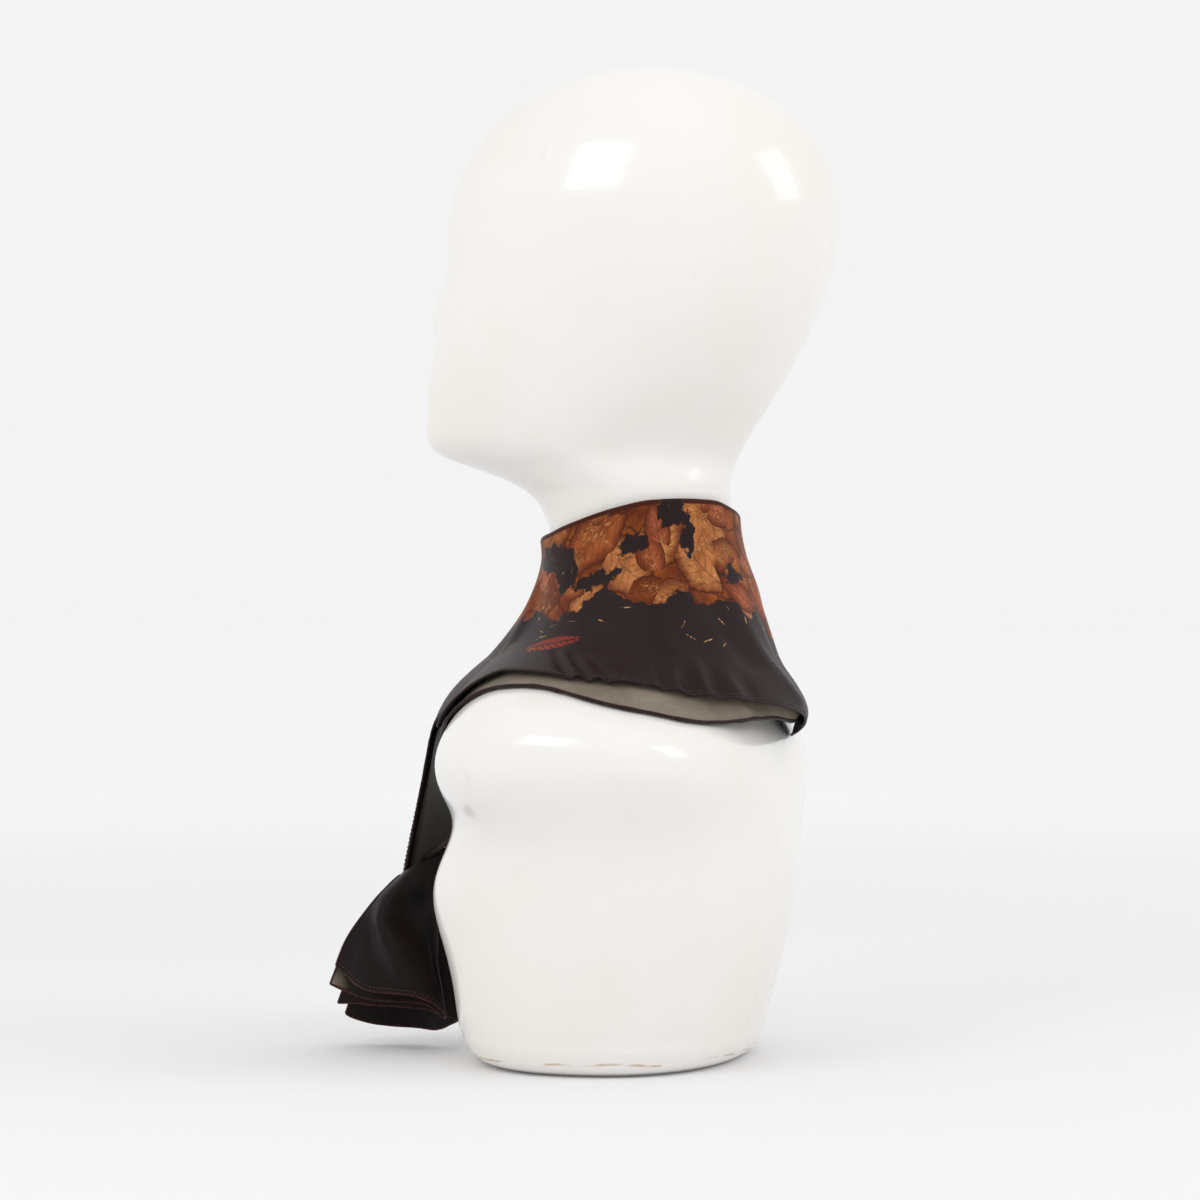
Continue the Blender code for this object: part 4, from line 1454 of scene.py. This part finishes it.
def tail_shades(table, run, across):
    """Painted light and shade on a tail's reverse, and painted shade on its printed side, at each point.
    """
    from_an_edge = np.minimum(across, across[:, -1:] - across)
    corner = np.hypot((run - TAIL_RUN) / TAIL_CORNER_RUN, from_an_edge / TAIL_CORNER_ACROSS)
    painted_light_level = np.clip(table["corner_painted_light"] - TAIL_CORNER_FALL * corner, table["rest_painted_light"], 2)
    share = np.linspace(0, 1, TAIL_COLUMNS)[None]
    # Painted shade on the near ply, from its table of places
    near = np.zeros((TAIL_ROWS, TAIL_COLUMNS))
    for run_at, across_at, half_run, half_across, depth in table["hollows"]:
        off = ((run / TAIL_RUN - run_at) / half_run) ** 2 + ((share - across_at) / half_across) ** 2
        near = np.maximum(near, depth * np.exp(-off))
    return painted_light_level, np.concatenate([near, np.zeros((TAIL_ROWS, TAIL_COLUMNS - 1))], axis=1)


def tail(node):
    """One free end of the scarf: two plies joined by a fold on the bust's side, with its hems."""
    table = TAILS[node]
    fold_line = line_through(table["near_fold"], TAIL_ROWS)
    near = tail_ply(table, "near", fold_line)
    far = tail_ply(table, "far", fold_line)
    grid = np.concatenate([near, far[:, ::-1][:, 1:]], axis=1)
    grid = softened_across_fold(grid, TAIL_COLUMNS - 1)
    across = travel_across(grid)
    run = np.linspace(0, TAIL_RUN, TAIL_ROWS)[:, None]
    along = table["along"] + run * np.ones_like(across)
    coordinates = np.stack([along, TAIL_HALF_CUT - across], axis=2)
    sides = grid_normals(grid)
    if sides[:, :TAIL_COLUMNS, 0].sum() < 0:
        sides = -sides
    painted_light_level, hollow = tail_shades(table, run, across)
    silk = silk_sheet(node + "_silk", grid, coordinates, painted_light_level, hollow, sides)
    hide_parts(node)
    edges = [grid[:, 0], grid[-1], grid[:, -1]]
    hems = rolled_hem(node + "_silk_hems", edges, [TAIL_HEM_RADIUS] * len(edges), TAIL_HEM)
    stitched = stitch_line(grid[-1], grid[-4], sides[-2], table["stitched_side"])[STITCHED_ON_TAIL]
    return silk, hems, stitched


def stitch_tree():
    """Geometry tree that sets one small stitch after another along a line of points."""
    tree = bpy.data.node_groups.new("hem_stitches", "GeometryNodeTree")
    for name, kind in (
        ("Line", "Geometry"),
        ("Spacing", "Float"),
        ("Stitch Length", "Float"),
        ("Thread Radius", "Float"),
        ("Thread", "Material"),
    ):
        tree.interface.new_socket(name, in_out="INPUT", socket_type="NodeSocket" + kind)
    tree.interface.new_socket("Stitches", in_out="OUTPUT", socket_type="NodeSocketGeometry")

    def node(kind, **settings):
        made = tree.nodes.new(kind)
        for name, value in settings.items():
            setattr(made, name, value)
        return made

    inputs = node("NodeGroupInput")
    outputs = node("NodeGroupOutput")
    curve = node("GeometryNodeMeshToCurve")
    spaced = node("GeometryNodeResampleCurve", mode="LENGTH")
    tangent = node("GeometryNodeInputTangent")
    turned = node("FunctionNodeAlignEulerToVector", axis="Z")
    uneven = node("FunctionNodeRandomValue", data_type="FLOAT")
    uneven.inputs["Seed"].default_value = STITCH_SEED
    uneven.inputs[2].default_value, uneven.inputs[3].default_value = STITCH_SCALES
    stitch = node("GeometryNodeMeshCylinder", fill_type="TRIANGLE_FAN")
    stitch.inputs["Vertices"].default_value = STITCH_SIDES
    placed = node("GeometryNodeInstanceOnPoints")
    real = node("GeometryNodeRealizeInstances")
    painted = node("GeometryNodeSetMaterial")
    for start, output, end, socket in (
        (inputs, "Line", curve, "Mesh"),
        (curve, "Curve", spaced, "Curve"),
        (inputs, "Spacing", spaced, "Length"),
        (spaced, "Curve", placed, "Points"),
        (inputs, "Stitch Length", stitch, "Depth"),
        (inputs, "Thread Radius", stitch, "Radius"),
        (stitch, "Mesh", placed, "Instance"),
        (tangent, "Tangent", turned, "Vector"),
        (turned, "Rotation", placed, "Rotation"),
        (uneven, 1, placed, "Scale"),
        (placed, "Instances", real, "Geometry"),
        (real, "Geometry", painted, "Geometry"),
        (inputs, "Thread", painted, "Material"),
        (painted, "Geometry", outputs, "Stitches"),
    ):
        tree.links.new(start.outputs[output], end.inputs[socket])
    return tree


def stitches(name, lines):
    """Row of hem stitches along each line, as one plain mesh."""
    mesh = bpy.data.meshes.new(name + "_lines")
    points, edges = [], []
    for line in lines:
        start = len(points)
        points += [tuple(p * MM) for p in line]
        edges += [(start + k, start + k + 1) for k in range(len(line) - 1)]
    mesh.from_pydata(points, edges, [])
    guide = put_in_scene(name + "_lines", mesh)
    modifier = guide.modifiers.new("stitches", "NODES")
    modifier.node_group = stitch_tree()
    values = {
        "Spacing": STITCH_SPACING * MM,
        "Stitch Length": STITCH_LENGTH * MM,
        "Thread Radius": STITCH_RADIUS * MM,
        "Thread": THREAD,
    }
    for item in modifier.node_group.interface.items_tree:
        if item.name in values:
            modifier[item.identifier] = values[item.name]
    guide.update_tag()
    bpy.context.view_layer.update()
    evaluated = guide.evaluated_get(bpy.context.evaluated_depsgraph_get())
    made = bpy.data.meshes.new_from_object(evaluated)
    made.name = name
    bpy.data.objects.remove(guide)
    obj = put_in_scene(name, made)
    make_outward(obj)
    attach(obj, "root")
    return obj


def stitch_line(edge, inner, normals, side=1):
    """Line on the cloth a little in from an edge, on the printed side (1) or the reverse (-1)."""
    lift = side * (SILK_THICKNESS / 2 + STITCH_LIFT)
    return edge + unit(inner - edge) * STITCH_INSET + normals * lift


def softbox(name, place, width, length, power, tint):
    """Large soft light that faces the bust."""
    light = bpy.data.lights.new(name, "AREA")
    light.shape = "RECTANGLE"
    light.size = width
    light.size_y = length
    light.energy = power
    light.color = tint
    obj = put_in_scene(name, light)
    obj.location = place
    obj.rotation_euler = (Vector(LIT_PLACE) - place).to_track_quat("-Z", "Y").to_euler()


def studio_floor():
    """Pale floor that fades to white far from the bust."""
    half = FLOOR_SIZE / 2
    corners = [(-half, -half, 0), (half, -half, 0), (half, half, 0), (-half, half, 0)]
    mesh = bpy.data.meshes.new("studio_floor")
    mesh.from_pydata(corners, [], [(0, 1, 2, 3)])
    s = Shader("studio_floor", 0.8, Specular_IOR_Level=0.1)
    s.surface.inputs["Emission Color"].default_value = (1.0, 1.0, 1.0, 1.0)
    s.surface.inputs["Emission Strength"].default_value = 0.02
    place = s.object_place()
    away = s.node("ShaderNodeVectorMath", {"operation": "LENGTH"}, [place], "Value")
    tint = away.between(FLOOR_NEAR, FLOOR_FAR) + (s.noise(place, 3.0, 2.0) - 0.5) * 0.03
    mesh.materials.append(s.finish(Base_Color=s.mixed(tint, FLOOR_DIM, FLOOR_PALE)))
    put_in_scene("studio_floor", mesh)


def studio():
    """Pale floor, pale surroundings, soft lights and the camera."""
    studio_floor()
    scene = bpy.context.scene
    world = bpy.data.worlds.new("studio_air")
    world.use_nodes = True
    background = world.node_tree.nodes["Background"]
    background.inputs["Color"].default_value = (1.0, 1.0, 1.0, 1.0)
    background.inputs["Strength"].default_value = AIR_BRIGHTNESS
    scene.world = world
    scene.view_settings.view_transform = "Standard"

    right = Vector((math.cos(CAMERA_AZIMUTH), math.sin(CAMERA_AZIMUTH), 0))
    towards = Vector((math.sin(CAMERA_AZIMUTH), -math.cos(CAMERA_AZIMUTH), 0))
    for name, ahead, across, height, *rest in SOFTBOXES:
        softbox(name, towards * ahead + right * across + Vector((0, 0, height)), *rest)

    data = bpy.data.cameras.new("camera")
    data.sensor_width = SENSOR_WIDTH
    data.lens = CAMERA_FOCAL_PIXELS / PHOTO_SIZE * SENSOR_WIDTH
    camera = put_in_scene("camera", data)
    place = towards * CAMERA_DISTANCE + right * CAMERA_SHIFT_ACROSS
    camera.location = place + Vector((0, 0, CAMERA_HEIGHT))
    camera.rotation_euler = (math.pi / 2, 0, CAMERA_AZIMUTH)
    scene.camera = camera


studio()
bust = display_bust()
scarf, scarf_hems, scarf_grid, scarf_sides = worn_scarf(tree_of(bust))
knot()
left_tail, left_hems, left_stitched = tail("tail_left")
right_tail, right_hems, right_stitched = tail("tail_right")
scarf_stitched = stitch_line(scarf_grid[:, 0], scarf_grid[:, 3], scarf_sides[:, 1])
hem_stitches = stitches("hem_stitches", [scarf_stitched, left_stitched, right_stitched])
